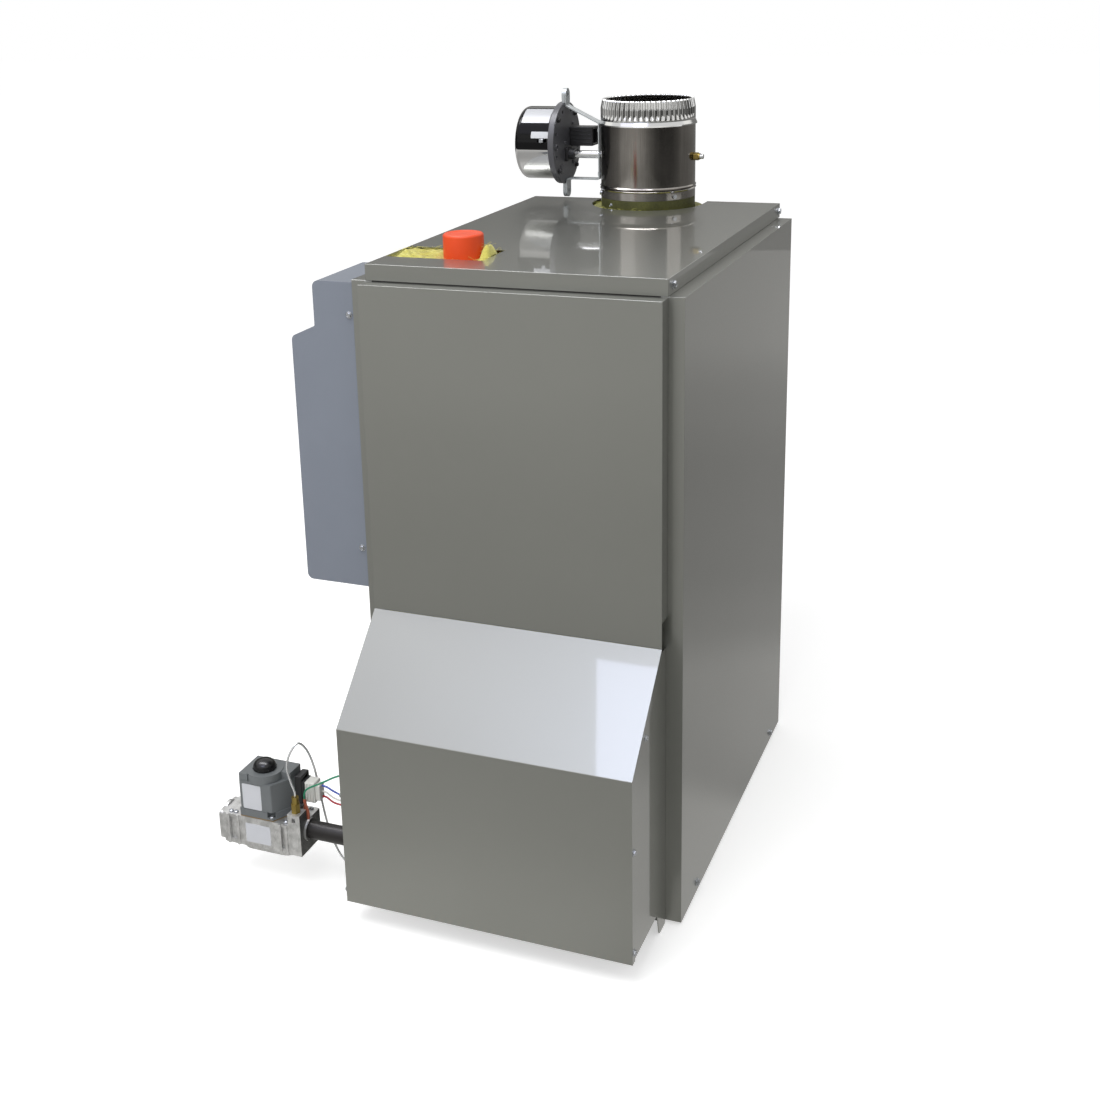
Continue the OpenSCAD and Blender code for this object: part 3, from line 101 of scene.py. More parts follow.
def add(tree: Tree, kind: str, inputs: dict | None = None, **settings) -> bpy.types.Node:
    """Adds a node with its settings, and links or fills its sockets.

    Args:
        tree: the tree that gets the node.
        kind: the node's Blender type.
        inputs: socket name or number, to an output socket or a value.
        settings: the node's own properties.

    Returns:
        The new node.
    """
    made = tree.nodes.new(kind)
    for name, value in settings.items():
        setattr(made, name, value)
    for name, value in (inputs or {}).items():
        if isinstance(value, Socket):
            tree.links.new(value, made.inputs[name])
        else:
            made.inputs[name].default_value = value
    return made


def metres(point: Sequence[float]) -> Vector:
    """Turns a point in millimetres into metres."""
    return Vector(point) * MM


def clamped(value: float) -> float:
    """Holds a value between 0 and 1."""
    return max(0.0, min(1.0, value))


def round_steps(turns: int) -> list[Pair]:
    """Gives the cosine and the sine of each step round a whole turn."""
    return [(math.cos(math.tau * i / turns), math.sin(math.tau * i / turns)) for i in range(turns)]


def squared(value: float, power: float) -> float:
    """Pushes a cosine or a sine outwards, so that a round comes nearer to a square."""
    return math.copysign(abs(value) ** power, value)


def bare_tree(owner: bpy.types.ID) -> Tree:
    """Gives a material or a world an empty node tree.

    Args:
        owner: the material or the world.

    Returns:
        Its tree, without a node in it.
    """
    owner.use_nodes = True
    owner.node_tree.nodes.clear()
    return owner.node_tree


class Body(Enum):
    """The bodies that pieces ride on."""

    BOILER = "boiler"
    HOOD = "burner_hood"
    FRONT = "front_cover"
    CAP = "pipe_cap"
    DAMPER = "damper"
    KNOB = "gas_knob"
    SWITCH = "hold_open"


class Head(Enum):
    """The kinds of small head that are set in rows and rings."""

    HEX = "hexagon with a washer and a dished top"
    PAN = "pan with a cross recess"
    BUMP = "plain rounded bump"


class Axis(Enum):
    """The axis that a turned piece lies along."""

    X = 0
    Y = 1
    Z = 2

    def point(self, u: float, v: float, along: float) -> Point:
        """Gives x, y and z of a point that lies across and along the axis."""
        return {Axis.X: (along, u, v), Axis.Y: (v, along, u), Axis.Z: (u, v, along)}[self]


@dataclass(frozen=True)
class Finish:
    """A surface: what it is made of and how it was made.

    The fine grain drives roughness, tint and bump, and stretch draws it out along an axis. The
    mottle is the slow change from the colour to the shade. Spangle is the size of the crystals
    of hot-dip zinc. Sizes are in millimetres.
    """

    name: str
    colour: str
    shade: str
    metallic: float = 0.0
    roughness: float = 0.5
    spread: float = 0.08
    grain: float = 1.0
    stretch: Point = (1.0, 1.0, 1.0)
    tint: float = 0.15
    bump: float = 0.01
    mottle_size: float = 80.0
    mottle: float = 0.3
    spangle: float = 0.0
    coat: float = 0.0
    coat_roughness: float = 0.1
    sheen: float = 0.0
    gloss: float = 0.5
    slot: str = ""

    def material(self) -> bpy.types.Material:
        """Makes the material once and gives it back each time.

        Returns:
            The material named after the finish.
        """
        found = bpy.data.materials.get(self.name)
        if found:
            return found
        made = bpy.data.materials.new(self.name)
        tree = bare_tree(made)
        place = add(tree, "ShaderNodeTexCoord").outputs["Object"]
        drawn = add(tree, "ShaderNodeMapping", {"Vector": place,
                                                "Scale": tuple(1 / s for s in self.stretch)})
        fine = add(tree, "ShaderNodeTexNoise", {"Vector": drawn.outputs[0], "Scale": 1 / (self.grain * MM),
                                                "Detail": 3.0, "Roughness": 0.6}).outputs[0]
        slow = add(tree, "ShaderNodeTexNoise", {"Vector": place, "Scale": 1 / (self.mottle_size * MM),
                                                "Detail": 2.0}).outputs[0]
        if self.spangle:
            cells = add(tree, "ShaderNodeTexVoronoi", {"Vector": place, "Scale": 1 / (self.spangle * MM)})
            split = add(tree, "ShaderNodeSeparateColor", {"Color": cells.outputs["Color"]})
            slow = add(tree, "ShaderNodeMath", {0: split.outputs[0], 1: slow},
                       operation="MULTIPLY_ADD").outputs[0]
        share = add(tree, "ShaderNodeMapRange", {"Value": slow, "From Min": 0.35, "From Max": 0.65,
                                                 "To Min": 0.0, "To Max": self.mottle})
        speck = add(tree, "ShaderNodeMapRange", {"Value": fine, "From Min": 0.3, "From Max": 0.7,
                                                 "To Min": 0.0, "To Max": self.tint})
        total = add(tree, "ShaderNodeMath", {0: share.outputs[0], 1: speck.outputs[0]}, operation="ADD",
                    use_clamp=True)
        tone = add(tree, "ShaderNodeMix", {0: total.outputs[0], MIX_A: linear(self.colour),
                                           MIX_B: linear(self.shade)}, data_type="RGBA")
        rough = add(tree, "ShaderNodeMapRange", {"Value": fine, "From Min": 0.25, "From Max": 0.75,
                                                 "To Min": max(0.02, self.roughness - self.spread),
                                                 "To Max": min(1.0, self.roughness + self.spread)})
        relief = add(tree, "ShaderNodeBump", {"Height": fine, "Strength": 0.6,
                                              "Distance": self.bump * MM})
        skin = add(tree, "ShaderNodeBsdfPrincipled", {
            "Base Color": tone.outputs[MIX_OUT], "Roughness": rough.outputs[0],
            "Normal": relief.outputs[0], "Metallic": self.metallic, "Coat Weight": self.coat,
            "Coat Roughness": self.coat_roughness, "Sheen Weight": self.sheen,
            "Specular IOR Level": self.gloss})
        add(tree, "ShaderNodeOutputMaterial", {"Surface": skin.outputs[0]})
        return made


# Powder-coated metallic enamel: satin flake under a clear smooth coat that mirrors the lamps
ENAMEL = Finish("metallic_enamel_on_steel", "#858680", "#7d7e78", 0.7, 0.36, 0.03, 1.6, bump=0.001,
                tint=0.05, mottle_size=300, mottle=0.25, coat=1.0, coat_roughness=0.03,
                slot="jacket_paint")
# Textured moulding: even blue-grey satin
CONTROL_ABS = Finish("moulded_blue_grey_abs", "#757b86", "#6c727d", 0.0, 0.42, 0.05, 0.9, bump=0.02,
                     tint=0.12, mottle=0.2, slot="control_plastic")
# Sprayed matt paint: flat dark grey that mirrors nothing
BASE_PAINT = Finish("dark_grey_matt_paint", "#4b4a48", "#403f3d", 0.1, 0.62, 0.06, 1.2, bump=0.01,
                    slot="base_paint")
# Hot-dip zinc: cool grey with a spangle of crystals
ZINC = Finish("hot_dip_galvanised_steel", "#c4c8ca", "#a2a7a9", 0.75, 0.36, 0.08, 2.0, bump=0.004,
              mottle=0.5, spangle=9.0, slot="galvanised")
# Varnished mill scale: warm black and wavy, with a broken gloss
BLACK_PIPE = Finish("varnished_black_steel_pipe", "#242120", "#161413", 0.2, 0.42, 0.1, 2.5, bump=0.03,
                    mottle_size=30, slot="black_pipe")
# Sand casting: dull dark grey, grainy and patchy
CAST_IRON = Finish("sand_cast_iron", "#4d4c4a", "#3a3532", 0.4, 0.66, 0.1, 1.8, bump=0.25, tint=0.4,
                   mottle_size=60, mottle=0.5, slot="cast_iron")
# Rolled sheet: soft gloss drawn out along the roll
STAINLESS = Finish("rolled_stainless_sheet", "#a9a6a0", "#8f8b84", 1.0, 0.3, 0.08, 1.0,
                   stretch=(1.0, 14.0, 1.0), bump=0.004, slot="stainless")
# Bright rolled vent pipe: mirror-like, with the roll's fine lines along its length
VENT_STEEL = Finish("bright_rolled_stainless_vent", "#a39f9a", "#7b7772", 1.0, 0.15, 0.06, 1.3,
                    stretch=(1.0, 1.0, 40.0), bump=0.003, tint=0.5, mottle_size=50, mottle=0.35,
                    slot="vent_steel")
# Bright crimped end, bead and rod: near-white metal with sharp reflections
BRIGHT_STEEL = Finish("bright_crimped_steel", "#d4d4d3", "#b9b9b8", 1.0, 0.12, 0.05, 1.2,
                      stretch=(1.0, 1.0, 20.0), bump=0.003, slot="bright_steel")
# Pressed board: pale, dry and matt
FIBRE_BOARD = Finish("pressed_fibre_board", "#cfccc4", "#b5b1a6", 0.0, 0.95, 0.03, 2.0, bump=0.3,
                     slot="fibre_board")
# Aged blanket: matt yellow-green with dark hollows, its grain drawn coarse so that it shows
GLASS_WOOL = Finish("yellow_glass_wool", "#b9b85a", "#7d7c2c", 0.0, 0.95, 0.03, 1.4, bump=0.8, tint=0.6,
                    mottle_size=14, mottle=0.5, sheen=0.3, slot="glass_fibre")
# The same wool, painted brighter for the notch as painted light, with the same coarse grain
NOTCH_WOOL_PAINTED_LIGHT = Finish("notch_glass_wool_painted_light", "#ded96f", "#b0a848", 0.0, 0.95, 0.03, 1.4, bump=0.8, tint=0.5,
                    mottle_size=14, mottle=0.4, sheen=0.3, slot="glass_fibre")
# Collar band: dull olive, smeared; its olive is a painted reflection of the yellow wool and painted shade of
# the gap
COLLAR_PAINTED_REFLECTION = Finish("olive_collar_painted_reflection_and_shade", "#5a5b2f", "#38391b", 0.3, 0.5, 0.08, 2.5, bump=0.05,
                    tint=0.5, mottle_size=30, mottle=0.5, slot="glass_fibre")
# Zinc-plated steel: small sharp glints
SCREW_ZINC = Finish("zinc_plated_screw_steel", "#c2c5c9", "#9a9da1", 1.0, 0.26, 0.06, 0.6, bump=0.004,
                    slot="screw_steel")
# Die-cast skin: light grey with upright flow marks and a soft gloss
CAST_ALUMINIUM = Finish("die_cast_aluminium", "#dededd", "#9d9d9b", 0.85, 0.4, 0.08, 1.1,
                        stretch=(1.0, 1.0, 5.0), bump=0.05, tint=0.4, mottle_size=14, mottle=0.5,
                        slot="cast_aluminium")
# The same skin, darkened as painted shade on the outlet end face beside the hood: dark and dull
PAINTED_SHADE_CASTING = Finish("aluminium_casting_end_in_painted_shade", "#5c5c5a", "#3c3c3a", 0.5, 0.55, 0.1, 1.4,
                      bump=0.12, tint=0.5, mottle_size=14, mottle=0.6, slot="cast_aluminium")
# Moulded phenolic: mid grey satin
VALVE_PLASTIC = Finish("moulded_grey_phenolic", "#686c6e", "#5b5f61", 0.0, 0.44, 0.05, 0.7, bump=0.02,
                       slot="valve_plastic")
# Pressed gasket: a tan, matt edge
GASKET = Finish("tan_gasket_fibre", "#8a7146", "#6e5833", 0.0, 0.85, 0.05, 0.5, bump=0.05,
                slot="gasket_fibre")
# Polished phenolic: deep black with one soft highlight
KNOB = Finish("gloss_black_phenolic", "#141416", "#0e0e10", 0.0, 0.24, 0.03, 0.8, bump=0.003,
              gloss=0.4, slot="knob_plastic")
# Textured moulding: black satin
BLACK_ABS = Finish("moulded_black_abs", "#222224", "#1a1a1c", 0.0, 0.45, 0.05, 0.6, bump=0.015,
                   slot="black_plastic")
# Natural nylon: milky white with a soft gloss
NYLON = Finish("natural_white_nylon", "#dcdcd8", "#cbcbc4", 0.0, 0.4, 0.05, 0.8, bump=0.01,
               slot="white_nylon")
# Turned brass: yellow metal, slightly dull
BRASS = Finish("turned_brass", "#a18c4e", "#786736", 1.0, 0.32, 0.08, 0.6, bump=0.006, mottle_size=12,
               slot="brass")
# Drawn tube: pale, and bright along its bend
TUBE_ALUMINIUM = Finish("drawn_aluminium_tube", "#e4e5e6", "#c9cacb", 0.7, 0.24, 0.06, 0.8, bump=0.004,
                        slot="tube_aluminium")
# Stacked sheets of steel: dark, with fine lines
TRANSFORMER = Finish("laminated_core_steel", "#3a3a3c", "#2c2c2e", 0.5, 0.5, 0.08, 0.7,
                     stretch=(8.0, 1.0, 8.0), bump=0.06, tint=0.4, slot="transformer_steel")
# Lacquered board: green with a thin gloss
CIRCUIT = Finish("lacquered_circuit_board", "#2d5a3a", "#244a2f", 0.0, 0.35, 0.06, 1.2, bump=0.02,
                 slot="circuit_board")
# Drawn and polished can: mirrors the room
CHROME = Finish("drawn_polished_motor_can", "#d9d9d9", "#c4c4c4", 1.0, 0.08, 0.03, 1.0, bump=0.002,
                slot="motor_chrome")
# Gloss black wrap on the can: black with sharp reflections
CAN_BLACK = Finish("gloss_black_enamel_can", "#0c0c0d", "#080809", 0.0, 0.12, 0.03, 1.0, bump=0.002,
                   gloss=0.15, slot="motor_chrome")
# Painted casting: dark blue-grey satin
MOTOR_PAINT = Finish("dark_grey_satin_casting", "#505054", "#434347", 0.1, 0.4, 0.06, 0.9, bump=0.02,
                     slot="motor_paint")
# Moulded polyethylene: saturated orange with a waxy gloss
CAP_PLASTIC = Finish("orange_polyethylene", "#e24c1e", "#d34013", 0.0, 0.46, 0.05, 1.2, bump=0.01,
                     mottle=0.2, gloss=0.3, slot="cap_plastic")
# Blank sticker: cool white, smooth
LABEL = Finish("blank_white_label", "#c3c5ca", "#b9bbc1", 0.0, 0.35, 0.04, 0.8, bump=0.003,
               slot="white_nylon")
# The leads' insulation: a clear colour each, with a narrow highlight along the wire
GREEN_WIRE, BLUE_WIRE, WHITE_WIRE, RED_WIRE = (
    Finish(f"{hue}_wire_insulation", colour, shade, 0.0, 0.32, 0.04, 1.0, bump=0.002, slot=f"{hue}_wire")
    for hue, colour, shade in (("green", "#2f8f6a", "#26785a"), ("blue", "#2a48b0", "#223c95"),
                               ("white", "#e4e2dc", "#d5d3cc"), ("red", "#b02030", "#951a28")))
# Moulded vinyl boot: copper red satin
SPADE_BOOT = Finish("copper_red_spade_boot", "#b0624a", "#99503a", 0.0, 0.38, 0.04, 0.8, bump=0.005,
                    slot="red_wire")


def seat_piece(piece: Piece, finish: Finish, body: Body, *nodes: str) -> Piece:
    """Gives a finished piece its material, its body and the nodes that it stands for.

    Args:
        piece: the mesh object, at the origin.
        finish: the surface of its first material slot.
        body: what it rides on.
        nodes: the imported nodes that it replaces, if any.

    Returns:
        The same piece.
    """
    if not piece.data.materials:
        piece.data.materials.append(finish.material())
    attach(piece, body.value)
    if nodes:
        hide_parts(*nodes)
    LOG.info("%s rides on %s", piece.name, body.value)
    return piece


def new_piece(name: str, shape: Shape, angle: float | None = 35.0) -> Piece:
    """Makes a smooth object of a finished shape.

    Args:
        name: the piece's name.
        shape: the shape, freed here.
        angle: edges sharper than this many degrees become sharp. Without it they stay as they are.

    Returns:
        The object, in the scene.
    """
    mesh = bpy.data.meshes.new(name)
    shape.to_mesh(mesh)
    shape.free()
    mesh.polygons.foreach_set("use_smooth", [True] * len(mesh.polygons))
    if angle is not None:
        mesh.set_sharp_from_angle(angle=math.radians(angle))
    piece = bpy.data.objects.new(name, mesh)
    bpy.context.scene.collection.objects.link(piece)
    return piece


def loft(rings: Iterable[Iterable[Point]], close: bool = False, ends: bool = False) -> Shape:
    """Skins a row of rings that have the same number of points.

    Args:
        rings: the rings, in millimetres.
        close: joins the last ring to the first.
        ends: closes the first ring and the last with a face each.

    Returns:
        The skin, in metres.
    """
    shape = bmesh.new()
    loops = [[shape.verts.new(metres(p)) for p in ring] for ring in rings]
    turns = len(loops[0])
    for low, high in zip(loops, loops[1:] + (loops[:1] if close else [])):
        for i in range(turns):
            j = (i + 1) % turns
            shape.faces.new((low[i], low[j], high[j], high[i]))
    if ends:
        shape.faces.new(loops[-1])
        shape.faces.new(list(reversed(loops[0])))
    bmesh.ops.recalc_face_normals(shape, faces=shape.faces)
    return shape


def lathe(profile: Sequence[Pair], centre: Point, axis: Axis = Axis.Z, turns: int = 96,
          close: bool = True) -> Shape:
    """Turns a profile about an axis.

    Args:
        profile: radius and distance along the axis, outside first.
        centre: a point on the axis.
        axis: which way the axis lies.
        turns: how many sides the round has.
        close: joins the last point of the profile to the first.

    Returns:
        The turned shape, in metres.
    """
    shape = bmesh.new()
    steps = round_steps(turns)
    loops = [[shape.verts.new(metres(axis.point(radius * c, radius * s, along)) + metres(centre))
              for c, s in (steps if radius else steps[:1])] for radius, along in profile]
    pairs = list(zip(loops, loops[1:]))
    if close:
        pairs.append((loops[-1], loops[0]))
    for low, high in pairs:
        if len(low) == len(high) == 1:
            continue
        for i in range(turns):
            j = (i + 1) % turns
            corners = [low[i % len(low)], low[j % len(low)], high[j % len(high)], high[i % len(high)]]
            shape.faces.new(list(dict.fromkeys(corners)))
    bmesh.ops.recalc_face_normals(shape, faces=shape.faces)
    return shape


def block(low: Point, high: Point, ease: float = 0.0, steps: int = 3) -> Shape:
    """Makes a block between two corners, with its edges eased.

    Args:
        low: lowest corner, in millimetres.
        high: highest corner, in millimetres.
        ease: radius of the edges, in millimetres.
        steps: how many faces round an edge.

    Returns:
        The block, in metres.
    """
    shape = bmesh.new()
    bmesh.ops.create_cube(shape, size=1)
    size = [h - l for l, h in zip(low, high)]
    middle = [(h + l) / 2 for l, h in zip(low, high)]
    bmesh.ops.transform(shape, verts=shape.verts,
                        matrix=Matrix.Translation(metres(middle)) @ Matrix.Diagonal((*metres(size), 1)))
    if ease:
        bmesh.ops.bevel(shape, geom=shape.edges[:], offset=ease * MM, segments=steps, profile=0.5,
                        affect="EDGES")
    return shape


def join(shapes: Iterable[Shape]) -> Shape:
    """Puts several shapes in one.

    Args:
        shapes: the shapes, freed here.

    Returns:
        The shape that holds them all.
    """
    whole = bmesh.new()
    for shape in shapes:
        mesh = bpy.data.meshes.new("part")
        shape.to_mesh(mesh)
        shape.free()
        whole.from_mesh(mesh)
        bpy.data.meshes.remove(mesh)
    return whole


@dataclass(frozen=True)
class Softened:
    """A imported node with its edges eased, as a press, a mould or a file leaves them.

    The fold is the radius on a thick form's outer edges, and the edge that on thin sheet and on
    inner corners. Edges flatter than the crease angle are left alone.
    """

    node: str
    name: str
    finish: Finish
    body: Body = Body.BOILER
    fold: float = 0.8
    edge: float = 0.3
    thin: float = 4.0
    steps: int = 3
    merge: float = 0.002
    flat: float = 0.6
    crease: float = 28.0

    def build(self) -> Piece:
        """Copies the node, merges it and bevels its edges.

        Returns:
            The piece that stands for the node.
        """
        shape = bmesh.new()
        shape.from_mesh(frame["nodes"][self.node].data)
        bmesh.ops.remove_doubles(shape, verts=shape.verts, dist=self.merge * MM)
        bmesh.ops.dissolve_limit(shape, angle_limit=math.radians(self.flat), verts=shape.verts,
                                 edges=shape.edges)
        weight = shape.edges.layers.float.new("bevel_weight_edge")
        for edge in shape.edges:
            if len(edge.link_faces) != 2:
                edge.smooth = False
                continue
            if edge.calc_face_angle(0) < math.radians(self.crease):
                continue
            breadth = min(2 * f.calc_area() / max(f.calc_perimeter(), 1e-9) for f in edge.link_faces)
            wide = breadth > self.thin * MM / 2 and edge.calc_face_angle_signed(0) > 0
            edge[weight] = 1.0 if wide else self.edge / self.fold
        piece = new_piece(self.name, shape, None)
        bevel = piece.modifiers.new("eased edges", "BEVEL")
        bevel.limit_method = "WEIGHT"
        bevel.width = self.fold * MM
        bevel.segments = self.steps
        bevel.use_clamp_overlap = True
        flat = piece.modifiers.new("flat faces", "WEIGHTED_NORMAL")
        flat.weight = 80
        flat.keep_sharp = True
        return seat_piece(piece, self.finish, self.body, self.node)


@dataclass
class SubAssembly:
    """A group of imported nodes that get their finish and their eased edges."""

    eased: Sequence[Softened] = ()

    def dress(self) -> None:
        """Dresses each node of the group."""
        for piece in self.eased:
            piece.build()


def as_mesh(piece: Piece) -> Piece:
    """Turns what a piece's modifiers give into its own mesh, and removes them.

    Args:
        piece: the object whose modifiers are applied.

    Returns:
        The same object with a plain mesh.
    """
    graph = bpy.context.evaluated_depsgraph_get()
    mesh = bpy.data.meshes.new_from_object(piece.evaluated_get(graph), depsgraph=graph)
    piece.modifiers.clear()
    old, piece.data = piece.data, mesh
    if old.users == 0:
        bpy.data.meshes.remove(old)
    return piece


class Recipe:
    """A Geometry Nodes tree with named inputs, and the modifier that runs it on a piece."""

    def __init__(self, name: str, inputs: dict[str, tuple[str, object]]) -> None:
        """Makes the tree and its sockets.

        Args:
            name: the tree's name.
            inputs: input name, to its kind in SOCKETS and its default.
        """
        self.tree = bpy.data.node_groups.new(name, "GeometryNodeTree")
        face = self.tree.interface
        face.new_socket("Geometry", in_out="INPUT", socket_type="NodeSocketGeometry")
        face.new_socket("Geometry", in_out="OUTPUT", socket_type="NodeSocketGeometry")
        self.ids: dict[str, str] = {}
        for label, (kind, default) in inputs.items():
            socket = face.new_socket(label, in_out="INPUT", socket_type=SOCKETS[kind])
            if default is not None and kind not in ("object", "material"):
                socket.default_value = default
            self.ids[label] = socket.identifier
        self.source = self.tree.nodes.new("NodeGroupInput")
        self.end = self.tree.nodes.new("NodeGroupOutput")

    def close(self, geometry: Socket) -> None:
        """Realizes the instances, sets the material and ends the tree.

        Args:
            geometry: the socket that gives the finished geometry.
        """
        real = add(self.tree, "GeometryNodeRealizeInstances", {0: geometry})
        coat = add(self.tree, "GeometryNodeSetMaterial", {"Geometry": real.outputs[0],
                                                          "Material": self.source.outputs["Material"]})
        self.tree.links.new(coat.outputs[0], self.end.inputs[0])

    def run(self, name: str, carrier: Shape, values: dict[str, object]) -> Piece:
        """Runs the tree on a carrier mesh and gives back the plain result.

        Args:
            name: the new piece's name.
            carrier: the mesh that the tree starts from.
            values: a value for each named input that isn't left at its default.

        Returns:
            The piece, a plain mesh with its material.
        """
        piece = new_piece(name, carrier)
        modifier = piece.modifiers.new(name, "NODES")
        modifier.node_group = self.tree
        for label, value in values.items():
            modifier[self.ids[label]] = value
        return as_mesh(piece)


def screw_recipe() -> Recipe:
    """Sets a head on each point, turned at random about its own axis.

    Returns:
        The tree, which reads where a head faces from the points' facing attribute.
    """
    made = Recipe("screws_on_points", {"Head": ("object", None), "Size": ("float", 1.0),
                                       "Seed": ("int", 3), "Material": ("material", None)})
    tree, source = made.tree, made.source
    head = add(tree, "GeometryNodeObjectInfo", {"Object": source.outputs["Head"]})
    way = add(tree, "GeometryNodeInputNamedAttribute", {"Name": "facing"}, data_type="FLOAT_VECTOR")
    along = add(tree, "FunctionNodeAlignRotationToVector", {"Vector": way.outputs[0]}, axis="Z")
    twist = add(tree, "FunctionNodeRandomValue", {"Min": 0.0, "Max": math.tau,
                                                  "Seed": source.outputs["Seed"]})
    spin = add(tree, "FunctionNodeAxisAngleToRotation", {"Axis": (0, 0, 1), "Angle": twist.outputs[1]})
    turn = add(tree, "FunctionNodeRotateRotation", {0: along.outputs[0], 1: spin.outputs[0]},
               rotation_space="LOCAL")
    placed = add(tree, "GeometryNodeInstanceOnPoints", {
        "Points": source.outputs[0], "Instance": head.outputs["Geometry"],
        "Rotation": turn.outputs[0], "Scale": source.outputs["Size"]})
    made.close(placed.outputs[0])
    return made


@dataclass
class ScrewSet:
    """Small heads in a row or a ring, each on its own shank.

    A hexagon head has a washer and a dished top. A pan head has a cross recess, whose sizes are
    shares of the head's radius and height.
    """

    name: str
    places: Sequence[tuple[Point, Point]]
    body: Body
    node: str = ""
    radius: float = 5.0
    height: float = 4.0
    shank: float = 2.2
    length: float = 7.0
    seed: int = 3
    head: Head = Head.HEX
    finish: Finish = SCREW_ZINC
    brim: float = 0.35
    recess_half: float = 0.16
    recess_reach: float = 0.62
    recess_depth: float = 0.4

    def rounded(self) -> Piece:
        """Makes one rounded head, its seat at the origin, with or without a cross recess.

        Returns:
            The head that is repeated.
        """
        rows = 10
        profile = [(self.shank, -self.length), (self.shank, 0), (self.radius, 0),
                   (self.radius, self.height * self.brim)]
        profile += [(self.radius * math.cos(a), self.height * (self.brim + (1 - self.brim) * math.sin(a)))
                    for a in (math.pi / 2 * k / rows for k in range(1, rows))]
        rings = []
        for radius, height in profile:
            ring = []
            for c, s in round_steps(32):
                x, y = radius * c, radius * s
                cross = (self.head is Head.PAN and height > 0 and radius < self.radius * self.recess_reach
                         and min(abs(x), abs(y)) < self.radius * self.recess_half)
                ring.append((x, y, height - (self.height * self.recess_depth if cross else 0)))
            rings.append(ring)
        return new_piece(self.name + "_pattern", loft(rings, ends=True), 40)

    def hexagon(self) -> Piece:
        """Makes one hexagon screw, its seat at the origin and its head along +Z.

        Returns:
            The screw that is repeated.
        """
        r, h, turns = self.radius, self.height, 24
        steps = round_steps(turns)
        washer = [(self.shank, -self.length), (self.shank, 0), (r * 1.25, 0), (r * 1.25, h * 0.14),
                  (r * 1.02, h * 0.3)]
        rings = [[(a * c, a * s, z) for c, s in steps] for a, z in washer]
        for a, z in ((r * 0.985, h * 0.3), (r * 0.985, h * 0.84), (r * 0.86, h), (r * 0.62, h),
                     (r * 0.56, h * 0.9)):
            ring = []
            for i, (c, s) in enumerate(steps):
                angle = math.tau * i / turns
                corner = math.cos(math.pi / 6) / math.cos((angle % (math.pi / 3)) - math.pi / 6)
                reach = a * (corner if z < h * 0.9 and a > r * 0.9 else min(corner, 0.94))
                ring.append((reach * c, reach * s, z))
            rings.append(ring)
        return new_piece(self.name + "_pattern", loft(rings, ends=True), 40)

    def build(self, recipe: Recipe) -> Piece:
        """Sets the screws on their places.

        Args:
            recipe: the tree from screw_recipe().

        Returns:
            All the screws as one piece.
        """
        head = self.hexagon() if self.head is Head.HEX else self.rounded()
        carrier = bmesh.new()
        facing = carrier.verts.layers.float_vector.new("facing")
        for point, way in self.places:
            carrier.verts.new(metres(point))[facing] = Vector(way)
        piece = recipe.run(self.name, carrier, {"Head": head, "Seed": self.seed,
                                                "Material": self.finish.material()})
        bpy.data.objects.remove(head)
        return seat_piece(piece, self.finish, self.body, *([self.node] if self.node else []))


